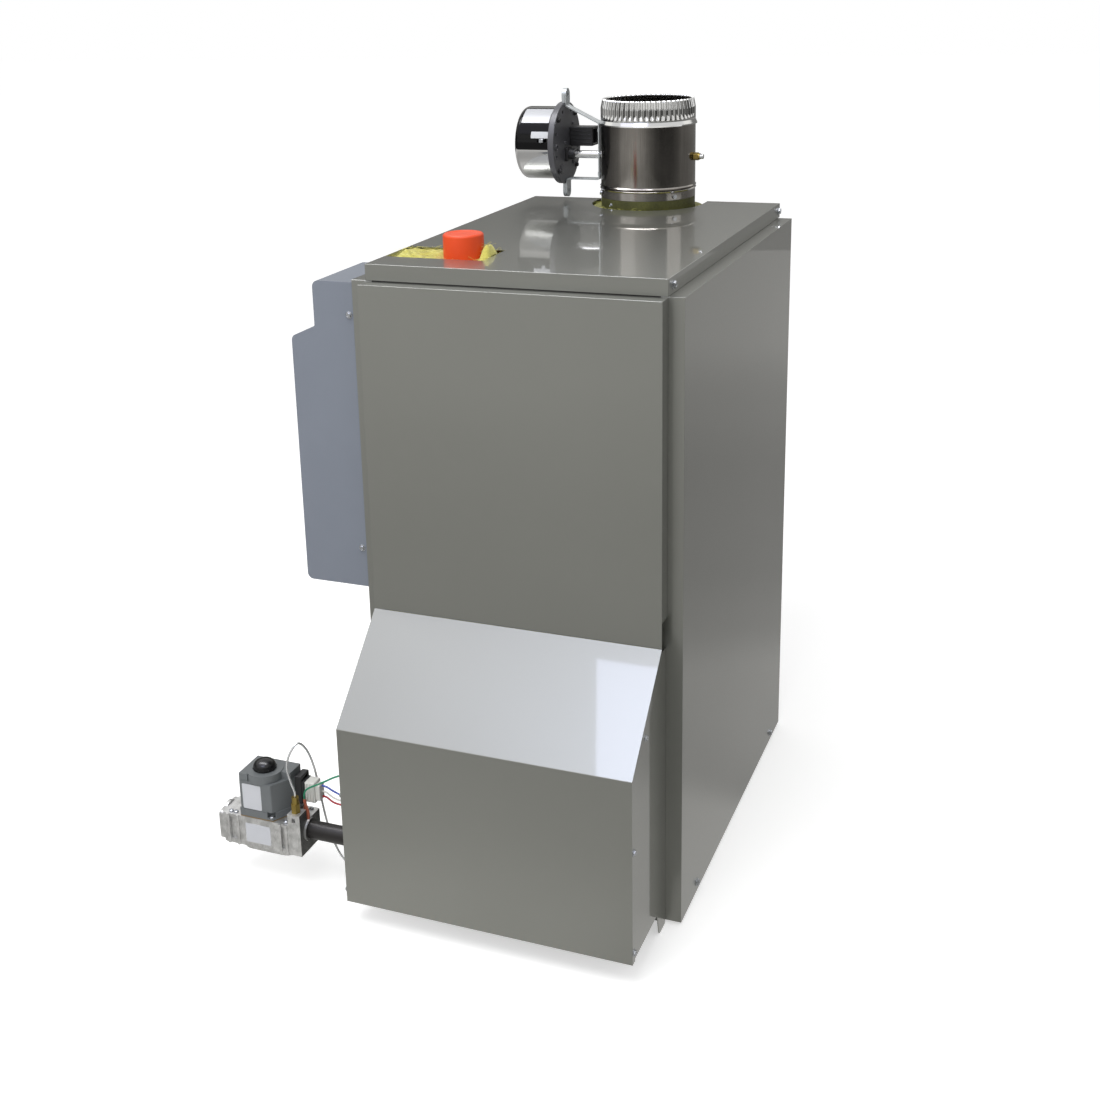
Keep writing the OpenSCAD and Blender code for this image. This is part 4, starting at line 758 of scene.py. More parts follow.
@dataclass
class Studio:
    """Pale floor, soft lamps, dark flags for the bright metal to mirror, and the camera.

    Places and sizes are in metres, and turns in degrees. The rounds give turn and tone, a whole
    turn being 1, floor_near the share of the way outwards and its tone, and wall_rise the share
    of the way up and how far the upper tone applies.
    """
    place: Point = (0.72307, -2.08442, 1.28688)
    azimuth: float = 22.896
    elevation: float = 16.478
    roll: float = -1.713
    lens: float = 49.388
    shift: Pair = (0.0473, -0.12)
    floor_size: float = 40.0
    world_light: float = 0.62
    room: float = 5.0
    room_height: float = 3.6
    floor_round: Sequence[Pair] = (
        (0.0, 0.64), (0.07, 0.64), (0.13, 0.64), (0.19, 0.73), (0.27, 0.67), (0.32, 0.52), (0.36, 0.44),
        (0.43, 0.44), (0.49, 0.43), (0.55, 0.32), (0.64, 0.36), (0.70, 0.40), (0.80, 0.54), (0.90, 0.64),
        (1.0, 0.64))
    floor_near: Sequence[Pair] = ((0.12, 1.1), (0.162, 0.82), (0.222, 0.70), (0.36, 0.66), (0.48, 0.76),
                                  (0.66, 1.02))
    wall_round: Sequence[Pair] = (
        (0.0, 0.12), (0.067, 0.20), (0.111, 0.44), (0.189, 0.58), (0.224, 0.58), (0.259, 0.50),
        (0.293, 0.30), (0.327, 0.17), (0.361, 0.08), (0.396, 0.05), (0.469, 0.06), (0.508, 0.12),
        (0.552, 0.24), (0.666, 0.26), (0.74, 0.24), (0.785, 0.20), (0.825, 0.07), (0.90, 0.07), (0.946, 0.08),
        (1.0, 0.12))
    wall_rise: Sequence[Pair] = ((0.62, 0.0), (0.76, 1.0))
    upper_tone: float = 1.3
    warm: tuple[float, float, float, float] = (1.0, 0.99, 0.96, 1.0)
    card_sides: int = 96
    # Name, place, aim, size and watts
    lamps: Sequence[tuple[str, Point, Point, Pair, float]] = (
        ("overhead_softbox", (-0.4, -1.7, 3.2), (0.0, -0.3, 0.4), (2.0, 1.8), 60.0),
        ("front_softbox", (-1.6, -3.2, 2.2), (0.0, 0.0, 0.5), (1.6, 1.6), 20.0))
    # Name, middle, size, turn and light, 1 being white
    flags: Sequence[tuple[str, Point, Pair, Point, Point]] = (
        ("ceiling_light", (-1.1, -1.9, 3.4), (3.6, 2.8), (0, 0, 0), (1.6, 1.6, 1.82)),
        ("ceiling_strip", (-1.0, -0.15, 3.4), (3.0, 0.9), (0, 0, 0), (13.0, 13.0, 13.4)),
        ("left_window", (-2.76, -3.80, 1.85), (4.2, 0.9), (90, 0, -36), (1.25, 1.25, 1.25)),
        ("right_window", (4.69, -0.28, 1.85), (4.0, 0.9), (90, 0, 86.6), (1.25, 1.25, 1.25)),
        ("ceiling_lamp_core", (-0.25, -2.3, 3.3), (1.2, 1.3), (0, 0, 0), (5.8, 6.2, 7.9)))

    def camera(self) -> None:
        """Stands the camera where the photograph was taken from."""
        a, e, r = (math.radians(x) for x in (self.azimuth, self.elevation, self.roll))
        back = Vector((math.sin(a) * math.cos(e), -math.cos(a) * math.cos(e), math.sin(e)))
        level = Vector((math.cos(a), math.sin(a), 0))
        up = back.cross(level)
        right = math.cos(r) * level + math.sin(r) * up
        above = math.cos(r) * up - math.sin(r) * level
        data = bpy.data.cameras.new("camera")
        data.lens, data.sensor_width = self.lens, 36.0
        data.shift_x, data.shift_y = self.shift
        data.clip_end = 100.0
        eye = bpy.data.objects.new("camera", data)
        eye.matrix_world = Matrix.Translation(self.place) @ Matrix(
            (right, above, back)).transposed().to_4x4()
        bpy.context.scene.collection.objects.link(eye)
        bpy.context.scene.camera = eye

    def world(self) -> None:
        """Lights from all round, and shows white behind the object and in its gloss."""
        world = bpy.data.worlds.new("studio")
        tree = bare_tree(world)
        ray = add(tree, "ShaderNodeLightPath").outputs
        seen = add(tree, "ShaderNodeMath", {0: ray["Is Camera Ray"], 1: ray["Is Glossy Ray"]},
                   operation="MAXIMUM")
        shown = add(tree, "ShaderNodeMath", {0: seen.outputs[0], 1: ray["Is Transmission Ray"]},
                    operation="MAXIMUM")
        level = add(tree, "ShaderNodeMapRange", {"Value": shown.outputs[0], "To Min": self.world_light,
                                                 "To Max": 1.0})
        sky = add(tree, "ShaderNodeBackground", {"Color": (1, 1, 1, 1), "Strength": level.outputs[0]})
        add(tree, "ShaderNodeOutputWorld", {"Surface": sky.outputs[0]})
        bpy.context.scene.world = world

    def floor(self) -> None:
        """Lays a pale floor that keeps the object's shadow."""
        shape = bmesh.new()
        bmesh.ops.create_grid(shape, x_segments=1, y_segments=1, size=self.floor_size / 2)
        floor = new_piece("studio_floor", shape)
        made = bpy.data.materials.new("pale_studio_floor")
        tree = bare_tree(made)
        ray = add(tree, "ShaderNodeLightPath").outputs
        seen = add(tree, "ShaderNodeMath", {0: ray["Is Camera Ray"], 1: ray["Is Glossy Ray"]},
                   operation="MAXIMUM")
        matt = add(tree, "ShaderNodeBsdfDiffuse", {"Color": linear("#e9e9e9")})
        lift = add(tree, "ShaderNodeMapRange", {"Value": seen.outputs[0], "To Max": 0.5})
        glow = add(tree, "ShaderNodeEmission", {"Strength": lift.outputs[0]})
        both = add(tree, "ShaderNodeAddShader", {0: matt.outputs[0], 1: glow.outputs[0]})
        add(tree, "ShaderNodeOutputMaterial", {"Surface": both.outputs[0]})
        floor.data.materials.append(made)

    def tones(self, tree: Tree, share: Socket, stops: Sequence[Pair]) -> Socket:
        """Turns a share into a tone by a row of stops.

        Args:
            tree: the material's tree.
            share: the socket that is read, 0 to 1.
            stops: share and tone, in order.

        Returns:
            The socket that gives the tone.
        """
        ramp = add(tree, "ShaderNodeValToRGB", {0: share})
        ramp.color_ramp.interpolation = "EASE"
        marks = ramp.color_ramp.elements
        marks.remove(marks[1])
        marks[0].position, marks[0].color = stops[0][0], (*[stops[0][1]] * 3, 1)
        for place, tone in stops[1:]:
            marks.new(place).color = (tone, tone, tone, 1)
        return ramp.outputs[0]

    def gloss_card(self, name: str, shape: Shape) -> tuple[Tree, bpy.types.Node]:
        """Makes a glowing card that only gloss sees.

        Args:
            name: the card's name.
            shape: its mesh, freed here.

        Returns:
            The tree of its material, and the node that glows.
        """
        card = new_piece(name, shape)
        made = bpy.data.materials.new(name)
        tree = bare_tree(made)
        glow = add(tree, "ShaderNodeEmission")
        add(tree, "ShaderNodeOutputMaterial", {"Surface": glow.outputs[0]})
        card.data.materials.append(made)
        card.visible_camera = card.visible_diffuse = card.visible_shadow = False
        card.visible_transmission = card.visible_volume_scatter = False
        return tree, glow

    def flag(self, name: str, centre: Point, size: Pair, turn: Point, colour: Point) -> None:
        """Stands a plain card that only gloss sees.

        Args:
            name: the card's name.
            centre: its middle, in metres.
            size: its width and height, in metres.
            turn: its Euler angles, in degrees.
            colour: the light it shows, 1 being white.
        """
        shape = bmesh.new()
        bmesh.ops.create_grid(shape, x_segments=1, y_segments=1, size=0.5)
        spin = Euler([math.radians(a) for a in turn]).to_matrix().to_4x4()
        place = Matrix.Translation(centre) @ spin @ Matrix.Diagonal((*size, 1, 1))
        bmesh.ops.transform(shape, matrix=place, verts=shape.verts)
        glow = self.gloss_card(name, shape)[1]
        glow.inputs["Color"].default_value = (*colour, 1)

    def toned_card(self, name: str, shape: Shape, upwards: bool, rounds: Sequence[Pair],
                   steps: Sequence[Pair], full: float) -> None:
        """Tones a card round the object, and outwards or upwards.

        Args:
            name: the card's name.
            shape: its mesh, freed here.
            upwards: whether the steps lighten it upwards. Otherwise they darken it outwards.
            rounds: turn and tone, a whole turn being 1.
            steps: share of the way and what applies there.
            full: the whole way, in metres.
        """
        tree, glow = self.gloss_card(name, shape)
        place = add(tree, "ShaderNodeTexCoord").outputs["Object"]
        turn = add(tree, "ShaderNodeTexGradient", {0: place}, gradient_type="RADIAL")
        if upwards:
            way = add(tree, "ShaderNodeSeparateXYZ", {0: place}).outputs[2]
        else:
            way = add(tree, "ShaderNodeVectorMath", {0: place}, operation="LENGTH").outputs["Value"]
        share = add(tree, "ShaderNodeMath", {0: way, 1: full}, operation="DIVIDE")
        low = self.tones(tree, turn.outputs["Fac"], rounds)
        step = self.tones(tree, share.outputs[0], steps)
        if upwards:
            both = add(tree, "ShaderNodeMix", {0: step, 2: low, 3: self.upper_tone}, data_type="FLOAT")
        else:
            both = add(tree, "ShaderNodeMath", {0: low, 1: step}, operation="MULTIPLY")
        glow.inputs["Color"].default_value = self.warm
        tree.links.new(both.outputs[0], glow.inputs["Strength"])

    def reflected_room(self) -> None:
        """Stands the round room that gloss mirrors: bright ahead and behind, dark at both sides."""
        floor = bmesh.new()
        bmesh.ops.create_circle(floor, cap_ends=True, segments=self.card_sides, radius=self.room)
        bmesh.ops.translate(floor, vec=(0, 0, 0.002), verts=floor.verts)
        self.toned_card("mirrored_floor", floor, False, self.floor_round, self.floor_near, self.room)
        wall = bmesh.new()
        low, high = (bmesh.ops.create_circle(wall, segments=self.card_sides, radius=self.room)["verts"]
                     for _ in range(2))
        bmesh.ops.translate(wall, vec=(0, 0, self.room_height), verts=high)
        for i in range(self.card_sides):
            j = (i + 1) % self.card_sides
            wall.faces.new((low[i], low[j], high[j], high[i]))
        self.toned_card("mirrored_wall", wall, True, self.wall_round, self.wall_rise, self.room_height)

    def lamp(self, name: str, place: Point, aim: Point, size: Pair, power: float) -> None:
        """Hangs a soft rectangular lamp aimed at a point.

        Args:
            name: the lamp's name.
            place: where it hangs, in metres.
            aim: what it points at, in metres.
            size: its width and height, in metres.
            power: its power in watts.
        """
        data = bpy.data.lights.new(name, "AREA")
        data.shape, data.size, data.size_y, data.energy = "RECTANGLE", *size, power
        lamp = bpy.data.objects.new(name, data)
        lamp.visible_glossy = False
        lamp.location = place
        lamp.rotation_euler = (Vector(aim) - Vector(place)).to_track_quat("-Z", "Y").to_euler()
        bpy.context.scene.collection.objects.link(lamp)

    def build(self) -> None:
        """Sets up the whole studio."""
        bpy.context.scene.view_settings.view_transform = "Standard"
        self.camera()
        self.world()
        self.floor()
        for lamp in self.lamps:
            self.lamp(*lamp)
        self.reflected_room()
        for flag in self.flags:
            self.flag(*flag)


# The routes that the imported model's own tube and wires follow
PILOT_ROUTE = [
    (-314, -423, 155), (-314, -423, 163), (-321, -421, 178), (-327, -418, 198), (-325, -410, 216),
    (-318, -398, 227), (-312, -386, 212), (-309, -376, 186), (-307, -370, 158), (-303, -368, 124),
    (-296, -368, 86), (-285, -370, 55), (-268, -374, 33), (-242, -378, 23), (-206, -380, 22),
    (-150, -378, 24), (-90, -374, 32), (-54, -364, 46), (-40, -353, 60), (-39, -350, 74)]
GROUND_ROUTE = [
    (-310, -404, 140), (-310, -404, 148), (-306, -404, 157), (-296, -404, 164), (-285, -404, 170),
    (-273, -403, 177), (-254, -400, 187), (-220, -388, 196), (-180, -366, 208), (-150, -350, 218),
    (-134, -341, 225), (-121, -340, 226)]
BLUE_ROUTE = [
    (-289, -387, 158), (-281, -387, 157), (-270, -388, 153), (-256, -388, 149), (-240, -386, 149),
    (-210, -378, 160), (-175, -362, 182), (-150, -350, 200), (-134, -341, 210), (-121, -340, 212)]
WHITE_ROUTE = [
    (-289, -387, 149), (-282, -387, 148), (-272, -388, 143), (-260, -388, 140), (-240, -386, 140),
    (-210, -377, 148), (-176, -362, 170), (-150, -350, 187), (-134, -341, 197), (-121, -340, 198)]
RED_ROUTE = [
    (-289, -387, 141), (-282, -387, 140), (-272, -388, 135), (-260, -388, 133), (-240, -385, 132),
    (-210, -376, 138), (-176, -361, 158), (-150, -349, 174), (-134, -341, 183), (-121, -340, 184)]


def smooth_route(route: Sequence[Point], turns: int) -> list[Vector]:
    """Runs a smooth curve through a route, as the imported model's own tubes do.

    Args:
        route: the points, in millimetres.
        turns: how many steps lie between two of them.

    Returns:
        The curve's points, in metres.
    """
    p = [metres(x) for x in route]
    n = len(p)
    out = []
    for i in range(n - 1):
        a, b, c, d = p[max(i - 1, 0)], p[i], p[i + 1], p[min(i + 2, n - 1)]
        for k in range(turns):
            t = k / turns
            out.append((2 * b + (c - a) * t + (2 * a - 5 * b + 4 * c - d) * t * t
                        + (3 * b - a - 3 * c + d) * t ** 3) / 2)
    return [*out, p[-1]]


def tube_recipe() -> Recipe:
    """Sweeps a round section along a line of edges.

    Returns:
        The tree, with the tube's radius and its number of sides as inputs.
    """
    made = Recipe("tube_along_route", {"Radius": ("float", 0.0014), "Sides": ("int", 12),
                                       "Material": ("material", None)})
    tree, source = made.tree, made.source
    line = add(tree, "GeometryNodeMeshToCurve", {0: source.outputs[0]})
    ring = add(tree, "GeometryNodeCurvePrimitiveCircle", {"Resolution": source.outputs["Sides"],
                                                          "Radius": source.outputs["Radius"]})
    swept = add(tree, "GeometryNodeCurveToMesh", {"Curve": line.outputs[0],
                                                  "Profile Curve": ring.outputs[0], "Fill Caps": True})
    made.close(swept.outputs[0])
    return made


@dataclass
class Lead:
    """A wire or tube swept along its whole route, from end to end."""

    name: str
    route: Sequence[Point]
    radius: float
    finish: Finish
    node: str
    free: bool = True
    turns: int = 6
    fittings: Sequence[str] = ()

    def build(self, recipe: Recipe) -> Piece:
        """Sweeps the tube or wire along its route.

        Args:
            recipe: the tree from tube_recipe().

        Returns:
            The piece.
        """
        path = smooth_route(self.route, self.turns)
        line = bmesh.new()
        points = [line.verts.new(p) for p in path]
        for a, b in zip(points, points[1:]):
            line.edges.new((a, b))
        piece = recipe.run(self.name, line, {"Radius": self.radius * MM,
                                             "Material": self.finish.material()})
        piece.data.polygons.foreach_set("use_smooth", [True] * len(piece.data.polygons))
        seat_piece(piece, self.finish, Body.BOILER, self.node)
        return piece


def on_both_sides(half: float, spots: Iterable[Pair]) -> list[tuple[Point, Point]]:
    """Gives a screw's seat and facing on the left side and on the right, for each y and z."""
    return [((s * half, y, z), (s, 0, 0)) for s in (-1, 1) for y, z in spots]


@dataclass
class Jacket(SubAssembly):
    """Folded and enamelled sheet round the boiler, and the flange behind its front panel, in dark matt paint
    as painted shade for the gap there.
    """

    eased: Sequence[Softened] = (
        Softened("top_cover", "top_cover_sheet", ENAMEL, fold=3.0),
        Softened("left_side_panel", "left_side_sheet", ENAMEL, fold=3.0),
        Softened("right_side_panel", "right_side_sheet", ENAMEL, fold=3.0),
        Softened("back_panel", "back_sheet", ENAMEL, fold=0.5),
        Softened("front_panel", "front_panel_sheet", ENAMEL, Body.FRONT, 3.0))
    cover_half: float = 210.1
    side_half: float = 231.6
    cover_spots: Sequence[Pair] = ((-295.5, 907.0), (306.5, 907.0))
    side_spots: Sequence[Pair] = ((-234.75, 20.0), (237.88, 20.0))
    flange: tuple[Point, Point] = ((-206.0, -315.6, 878.0), (206.0, -314.6, 908.0))

    def build(self, screws: Recipe) -> None:
        """Makes the jacket's sheets, its flange and its screws.

        Args:
            screws: the tree from screw_recipe().
        """
        self.dress()
        # The flange's dark matt paint is painted shade for the gap behind the front panel's top
        seat_piece(new_piece("front_upper_flange", block(*self.flange, 0.4)), BASE_PAINT, Body.BOILER)
        places = [*on_both_sides(self.cover_half, self.cover_spots),
                  *on_both_sides(self.side_half, self.side_spots)]
        ScrewSet("jacket_screw_heads", places, Body.BOILER, "jacket_screws").build(screws)


@dataclass
class BurnerHood(SubAssembly):
    """The projecting hood: a sloped front sheet and two side plates with foot tabs."""

    eased: Sequence[Softened] = (
        Softened("hood_front", "hood_sheet", ENAMEL, Body.HOOD, 2.6),
        Softened("hood_side_left", "hood_left_plate", ENAMEL, Body.HOOD, 0.5),
        Softened("hood_side_right", "hood_right_plate", ENAMEL, Body.HOOD, 0.5))
    half: float = 210.1
    spots: Sequence[Pair] = ((-467.4, 54.5), (-467.4, 202.96), (-415.4, 339.6))

    def build(self, screws: Recipe) -> None:
        """Makes the hood's sheets and screws.

        Args:
            screws: the tree from screw_recipe().
        """
        self.dress()
        ScrewSet("hood_screw_heads", on_both_sides(self.half, self.spots), Body.HOOD, "hood_screws",
                 radius=4.0, height=3.2, length=3.0).build(screws)


@dataclass
class HeatExchanger(SubAssembly):
    """Cast sections, the rings and rods that join them, and the base below."""

    eased: Sequence[Softened] = (
        Softened("base_frame", "base_box", BASE_PAINT, fold=0.2, edge=0.1),
        Softened("base_insulation", "base_lining", FIBRE_BOARD, fold=1.5, edge=0.8),
        Softened("left_end_section", "left_end_casting", CAST_IRON, fold=1.5, edge=1.0),
        Softened("mid_sections", "middle_castings", CAST_IRON, fold=1.5, edge=1.0),
        Softened("right_end_section", "right_end_casting", CAST_IRON, fold=1.5, edge=1.0),
        Softened("push_nipples", "sealing_rings", STAINLESS, fold=0.4, edge=0.2),
        Softened("tie_rods", "draw_rods", SCREW_ZINC, fold=0.6, edge=0.4))


@dataclass
class BurnerTrain(SubAssembly):
    """The gas parts in the hood: manifold, spuds, burners, pilot and ignition box."""

    eased: Sequence[Softened] = (
        Softened("burner_tubes", "burner_tube_set", STAINLESS, fold=0.4, edge=0.2),
        Softened("burner_rack", "burner_carrier", ZINC, fold=0.6),
        Softened("gas_manifold", "manifold_pipe", BLACK_PIPE, fold=0.6),
        Softened("burner_orifices", "orifice_spuds", BRASS, fold=0.4),
        Softened("pilot_burner", "pilot_head", STAINLESS, fold=0.4, edge=0.2),
        Softened("ignition_module", "ignition_box", BLACK_ABS, fold=1.5, edge=0.5),
        Softened("valve_nipple", "gas_nipple", BLACK_PIPE, fold=0.6, edge=0.4))


@dataclass
class FluePassages(SubAssembly):
    """Zinc-coated collector and draft hood, with the two limit switches."""

    eased: Sequence[Softened] = (
        Softened("flue_canopy", "flue_collector", ZINC, fold=1.2),
        Softened("draft_hood", "draft_hood_sheet", ZINC, fold=1.2, edge=0.2),
        Softened("limit_switches", "limit_switch_pair", BLACK_ABS, fold=0.5, edge=0.4))


@dataclass
class ThreadedPipe:
    """Black pipe whose free end is cut with a tapering thread.

    The drop is how far the thread's crest lies below the pipe's skin, and the cut its depth.
    """

    node: str
    name: str
    axis: Axis
    centre: Point
    radius: float
    wall: float
    low: float
    high: float
    thread: float = 20.0
    drop: float = 0.4
    cut: float = 0.8
    pitch: float = 2.2
    sides: int = 96

    def build(self) -> Piece:
        """Turns the pipe, then runs the thread's crest round it as a helix.

        Returns:
            The pipe.
        """
        start = self.high - self.thread
        crest, bore = self.radius - self.drop, self.radius - self.wall
        root = crest - self.cut
        count = int((self.thread - 1.5) / self.pitch) * 2
        profile = [(self.radius, self.low, 0), (self.radius, start - 1, 0), (root, start, 0)]
        profile += [(crest if k % 2 else root, start + 0.6 + k * self.pitch / 2, 1) for k in range(count)]
        profile += [(root, self.high - 0.5, 0), (root - 0.5, self.high, 0), (bore, self.high, 0),
                    (bore, self.low, 0)]
        rings = []
        for radius, along, helix in profile:
            ring = []
            for i, (c, s) in enumerate(round_steps(self.sides)):
                lift = helix * self.pitch * (i / self.sides - 0.5) * 0.5
                spot = self.axis.point(radius * c, radius * s, along + lift)
                ring.append(Vector(spot) + Vector(self.centre))
            rings.append(ring)
        piece = new_piece(self.name, loft(rings, close=True), 40)
        return seat_piece(piece, BLACK_PIPE, Body.BOILER, self.node)


@dataclass
class WaterPipes(SubAssembly):
    """Supply and return pipe ends, and the cap on the supply."""

    eased: Sequence[Softened] = (
        Softened("supply_cap", "pipe_cap_moulding", CAP_PLASTIC, Body.CAP, 1.6, 0.8, steps=4),)
    # Node, piece, axis, centre, radius and wall
    pipes: Sequence[tuple[str, str, Axis, Point, float, float]] = (
        ("supply_nipple", "supply_pipe_end", Axis.Z, (-107.8, -219.5, 0.0), 24.15, 3.7),
        ("return_nipple", "return_pipe_end", Axis.Y, (-117.0, 0.0, 232.3), 21.1, 3.6))

    def build(self) -> None:
        """Makes both pipes, as long as their nodes, and the cap."""
        for node, name, axis, centre, radius, wall in self.pipes:
            low, high = (corner[axis.value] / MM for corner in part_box(node))
            ThreadedPipe(node, name, axis, centre, radius, wall, low, high).build()
        self.dress()


def wool_height(x: float, y: float, seed: float) -> float:
    """Rumpled height of a wool surface, from a few crossed waves.

    Args:
        x: place across, in millimetres.
        y: place along, in millimetres.
        seed: shifts the pattern.

    Returns:
        A share from about -1 to 1.
    """
    # Waves per millimetre across and along, phase and weight
    waves = ((0.11, 0.07, 0.0, 0.5), (-0.06, 0.17, 1.3, 0.35), (0.31, -0.23, 2.1, 0.2),
             (0.52, 0.43, 0.4, 0.12), (0.9, -0.7, 0.9, 0.07))
    return sum(w * math.sin(a * x + b * y + p + seed * (i + 1)) for i, (a, b, p, w) in enumerate(waves))


def fibre_recipe() -> Recipe:
    """Scatters short loose fibres over a wool surface.

    Returns:
        The tree, with the fibres' density and size as inputs.
    """
    made = Recipe("loose_fibres", {"Density": ("float", 60000.0), "Fibre length": ("float", 0.009),
                                   "Fibre radius": ("float", 0.00016), "Seed": ("int", 5),
                                   "Material": ("material", None)})
    tree, source = made.tree, made.source
    points = add(tree, "GeometryNodeDistributePointsOnFaces", {
        "Mesh": source.outputs[0], "Density": source.outputs["Density"], "Seed": source.outputs["Seed"]})
    arc = add(tree, "GeometryNodeCurveQuadraticBezier", {
        "Resolution": 4, "Start": (0, 0, 0), "Middle": (0.5, 0.25, 0.35), "End": (1, 0, 0.1)})
    ring = add(tree, "GeometryNodeCurvePrimitiveCircle", {"Resolution": 3,
                                                          "Radius": source.outputs["Fibre radius"]})
    long = add(tree, "FunctionNodeRandomValue", {"Min": 0.5, "Max": 1.4, "Seed": 7})
    size = add(tree, "ShaderNodeMath", {0: long.outputs[1], 1: source.outputs["Fibre length"]},
               operation="MULTIPLY")
    turn = add(tree, "FunctionNodeRandomValue", {0: (-0.5, -0.5, 0.0), 1: (0.5, 0.5, math.tau), "Seed": 11},
               data_type="FLOAT_VECTOR")
    placed = add(tree, "GeometryNodeInstanceOnPoints", {
        "Points": points.outputs[0], "Instance": arc.outputs[0], "Rotation": turn.outputs[0],
        "Scale": size.outputs[0]})
    real = add(tree, "GeometryNodeRealizeInstances", {0: placed.outputs[0]})
    hair = add(tree, "GeometryNodeCurveToMesh", {"Curve": real.outputs[0],
                                                 "Profile Curve": ring.outputs[0]})
    both = add(tree, "GeometryNodeJoinGeometry")
    tree.links.new(hair.outputs[0], both.inputs[0])
    tree.links.new(source.outputs[0], both.inputs[0])
    made.close(both.outputs[0])
    return made


@dataclass
class Wool(SubAssembly):
    """Yellow glass-wool blankets, rumpled where they show at the notch and round the collar.

    In the notch the wool swells between the cover's edges and the cap, rises to the left, and
    stands up as a torn flap beside the cap. Round the collar it is pressed down to the right.
    """

    eased: Sequence[Softened] = (
        Softened("jacket_insulation", "glass_wool_blankets", GLASS_WOOL, fold=6.0, edge=3.0),)
    notch: tuple[Pair, Pair] = ((-207.0, -257.0), (-65.0, -181.0))
    cap: Pair = (-107.8, -219.5)
    cap_r: float = 28.4
    base: float = 911.9
    step: float = 2.0
    edge_run: float = 12.0
    swell: Pair = (3.2, 3.0)
    left_from: float = -140.0
    left_run: float = 30.0
    left_rise: float = 3.0
    flap: Pair = (-72.0, -216.0)
    flap_half: Pair = (7.0, 16.0)
    flap_rise: float = 19.0
    cap_run: float = 9.0
    flap_run: float = 2.5
    vent: Pair = (0.0, 285.5)
    ring: Pair = (76.6, 90.4)
    ring_swell: Pair = (3.4, 1.8)
    ring_turns: int = 150
    ring_rows: int = 8
    sunk: float = 9.0

    def notch_height(self, x: float, y: float) -> float:
        """Works out how high the wool stands in the cover's notch.

        Args:
            x: place across the boiler.
            y: place along it.

        Returns:
            The height above the floor.
        """
        (x0, y0), (x1, y1) = self.notch
        inside = clamped(min(x - x0, x1 - x, y - y0, y1 - y) / self.edge_run)
        swell = self.swell[0] + self.swell[1] * wool_height(x, y, 0.6)
        left = clamped((self.left_from - x) / self.left_run) * self.left_rise
        flap = self.flap_rise * math.exp(-((x - self.flap[0]) / self.flap_half[0]) ** 4
                                         - ((y - self.flap[1]) / self.flap_half[1]) ** 4)
        flap *= 1 + 0.12 * wool_height(x, y, 2.2)
        reach = math.hypot(x - self.cap[0], y - self.cap[1]) - self.cap_r
        lift = ((swell + left) * inside * clamped(reach / self.cap_run)
                + flap * clamped(reach / self.flap_run))
        return self.base + max(0.0, lift)

    def notch_tuft(self) -> Shape:
        """Makes the wool that swells up in the notch beside the cap.

        Returns:
            The wool's surface, in metres, open where the cap stands.
        """
        shape = bmesh.new()
        (x0, y0), (x1, y1) = self.notch
        nx, ny = int((x1 - x0) / self.step), int((y1 - y0) / self.step)
        grid = []
        for j in range(ny + 1):
            row = []
            for i in range(nx + 1):
                x, y = x0 + (x1 - x0) * i / nx, y0 + (y1 - y0) * j / ny
                away = Vector((x - self.cap[0], y - self.cap[1]))
                if away.length < self.cap_r:
                    away = away.normalized() * self.cap_r if away.length else Vector((self.cap_r, 0))
                    x, y = self.cap[0] + away.x, self.cap[1] + away.y
                row.append(shape.verts.new(metres((x, y, self.notch_height(x, y)))))
            grid.append(row)
        for j in range(ny):
            for i in range(nx):
                corners = [grid[j][i], grid[j][i + 1], grid[j + 1][i + 1], grid[j + 1][i]]
                middle = sum((c.co for c in corners), Vector()) / 4 / MM
                if math.hypot(middle.x - self.cap[0], middle.y - self.cap[1]) > self.cap_r:
                    shape.faces.new(corners)
        bmesh.ops.delete(shape, geom=[v for v in shape.verts if not v.link_faces], context="VERTS")
        return shape

    def collar_ring(self) -> Shape:
        """Makes the wool that swells up round the flue collar inside the cover's slot.

        Returns:
            The wool's surface, in metres.
        """
        shape = bmesh.new()
        inner, outer = self.ring
        grid = []
        for i, (c, s) in enumerate(round_steps(self.ring_turns)):
            a = math.tau * i / self.ring_turns
            row = []
            for j in range(self.ring_rows + 1):
                share = j / self.ring_rows
                radius = inner + (outer - inner) * share
                waves = self.ring_swell[0] + self.ring_swell[1] * wool_height(40 * a, 30 * share, 1.7)
                swell = math.sin(math.pi * share) * waves
                swell -= self.sunk * clamped(2.5 * c) * (0.3 + 0.7 * share)
                row.append(shape.verts.new(metres((self.vent[0] + radius * c, self.vent[1] + radius * s,
                                                   self.base + swell))))
            grid.append(row)
        for i, row in enumerate(grid):
            after = grid[(i + 1) % self.ring_turns]
            for j in range(self.ring_rows):
                shape.faces.new((row[j], row[j + 1], after[j + 1], after[j]))
        return shape

    def build(self) -> None:
        """Makes the blankets and the two swellings that show."""
        fibres = fibre_recipe()
        self.dress()
        # The notch wool takes the brighter copy of the wool: painted light
        for name, shape, finish in (("notch_wool", self.notch_tuft(), NOTCH_WOOL_PAINTED_LIGHT),
                                    ("collar_wool", self.collar_ring(), GLASS_WOOL)):
            bmesh.ops.recalc_face_normals(shape, faces=shape.faces)
            if sum((f.normal.z for f in shape.faces)) < 0:
                bmesh.ops.reverse_faces(shape, faces=shape.faces)
            piece = fibres.run(name, shape, {"Material": finish.material()})
            piece.data.polygons.foreach_set("use_smooth", [True] * len(piece.data.polygons))
            seat_piece(piece, finish, Body.BOILER)


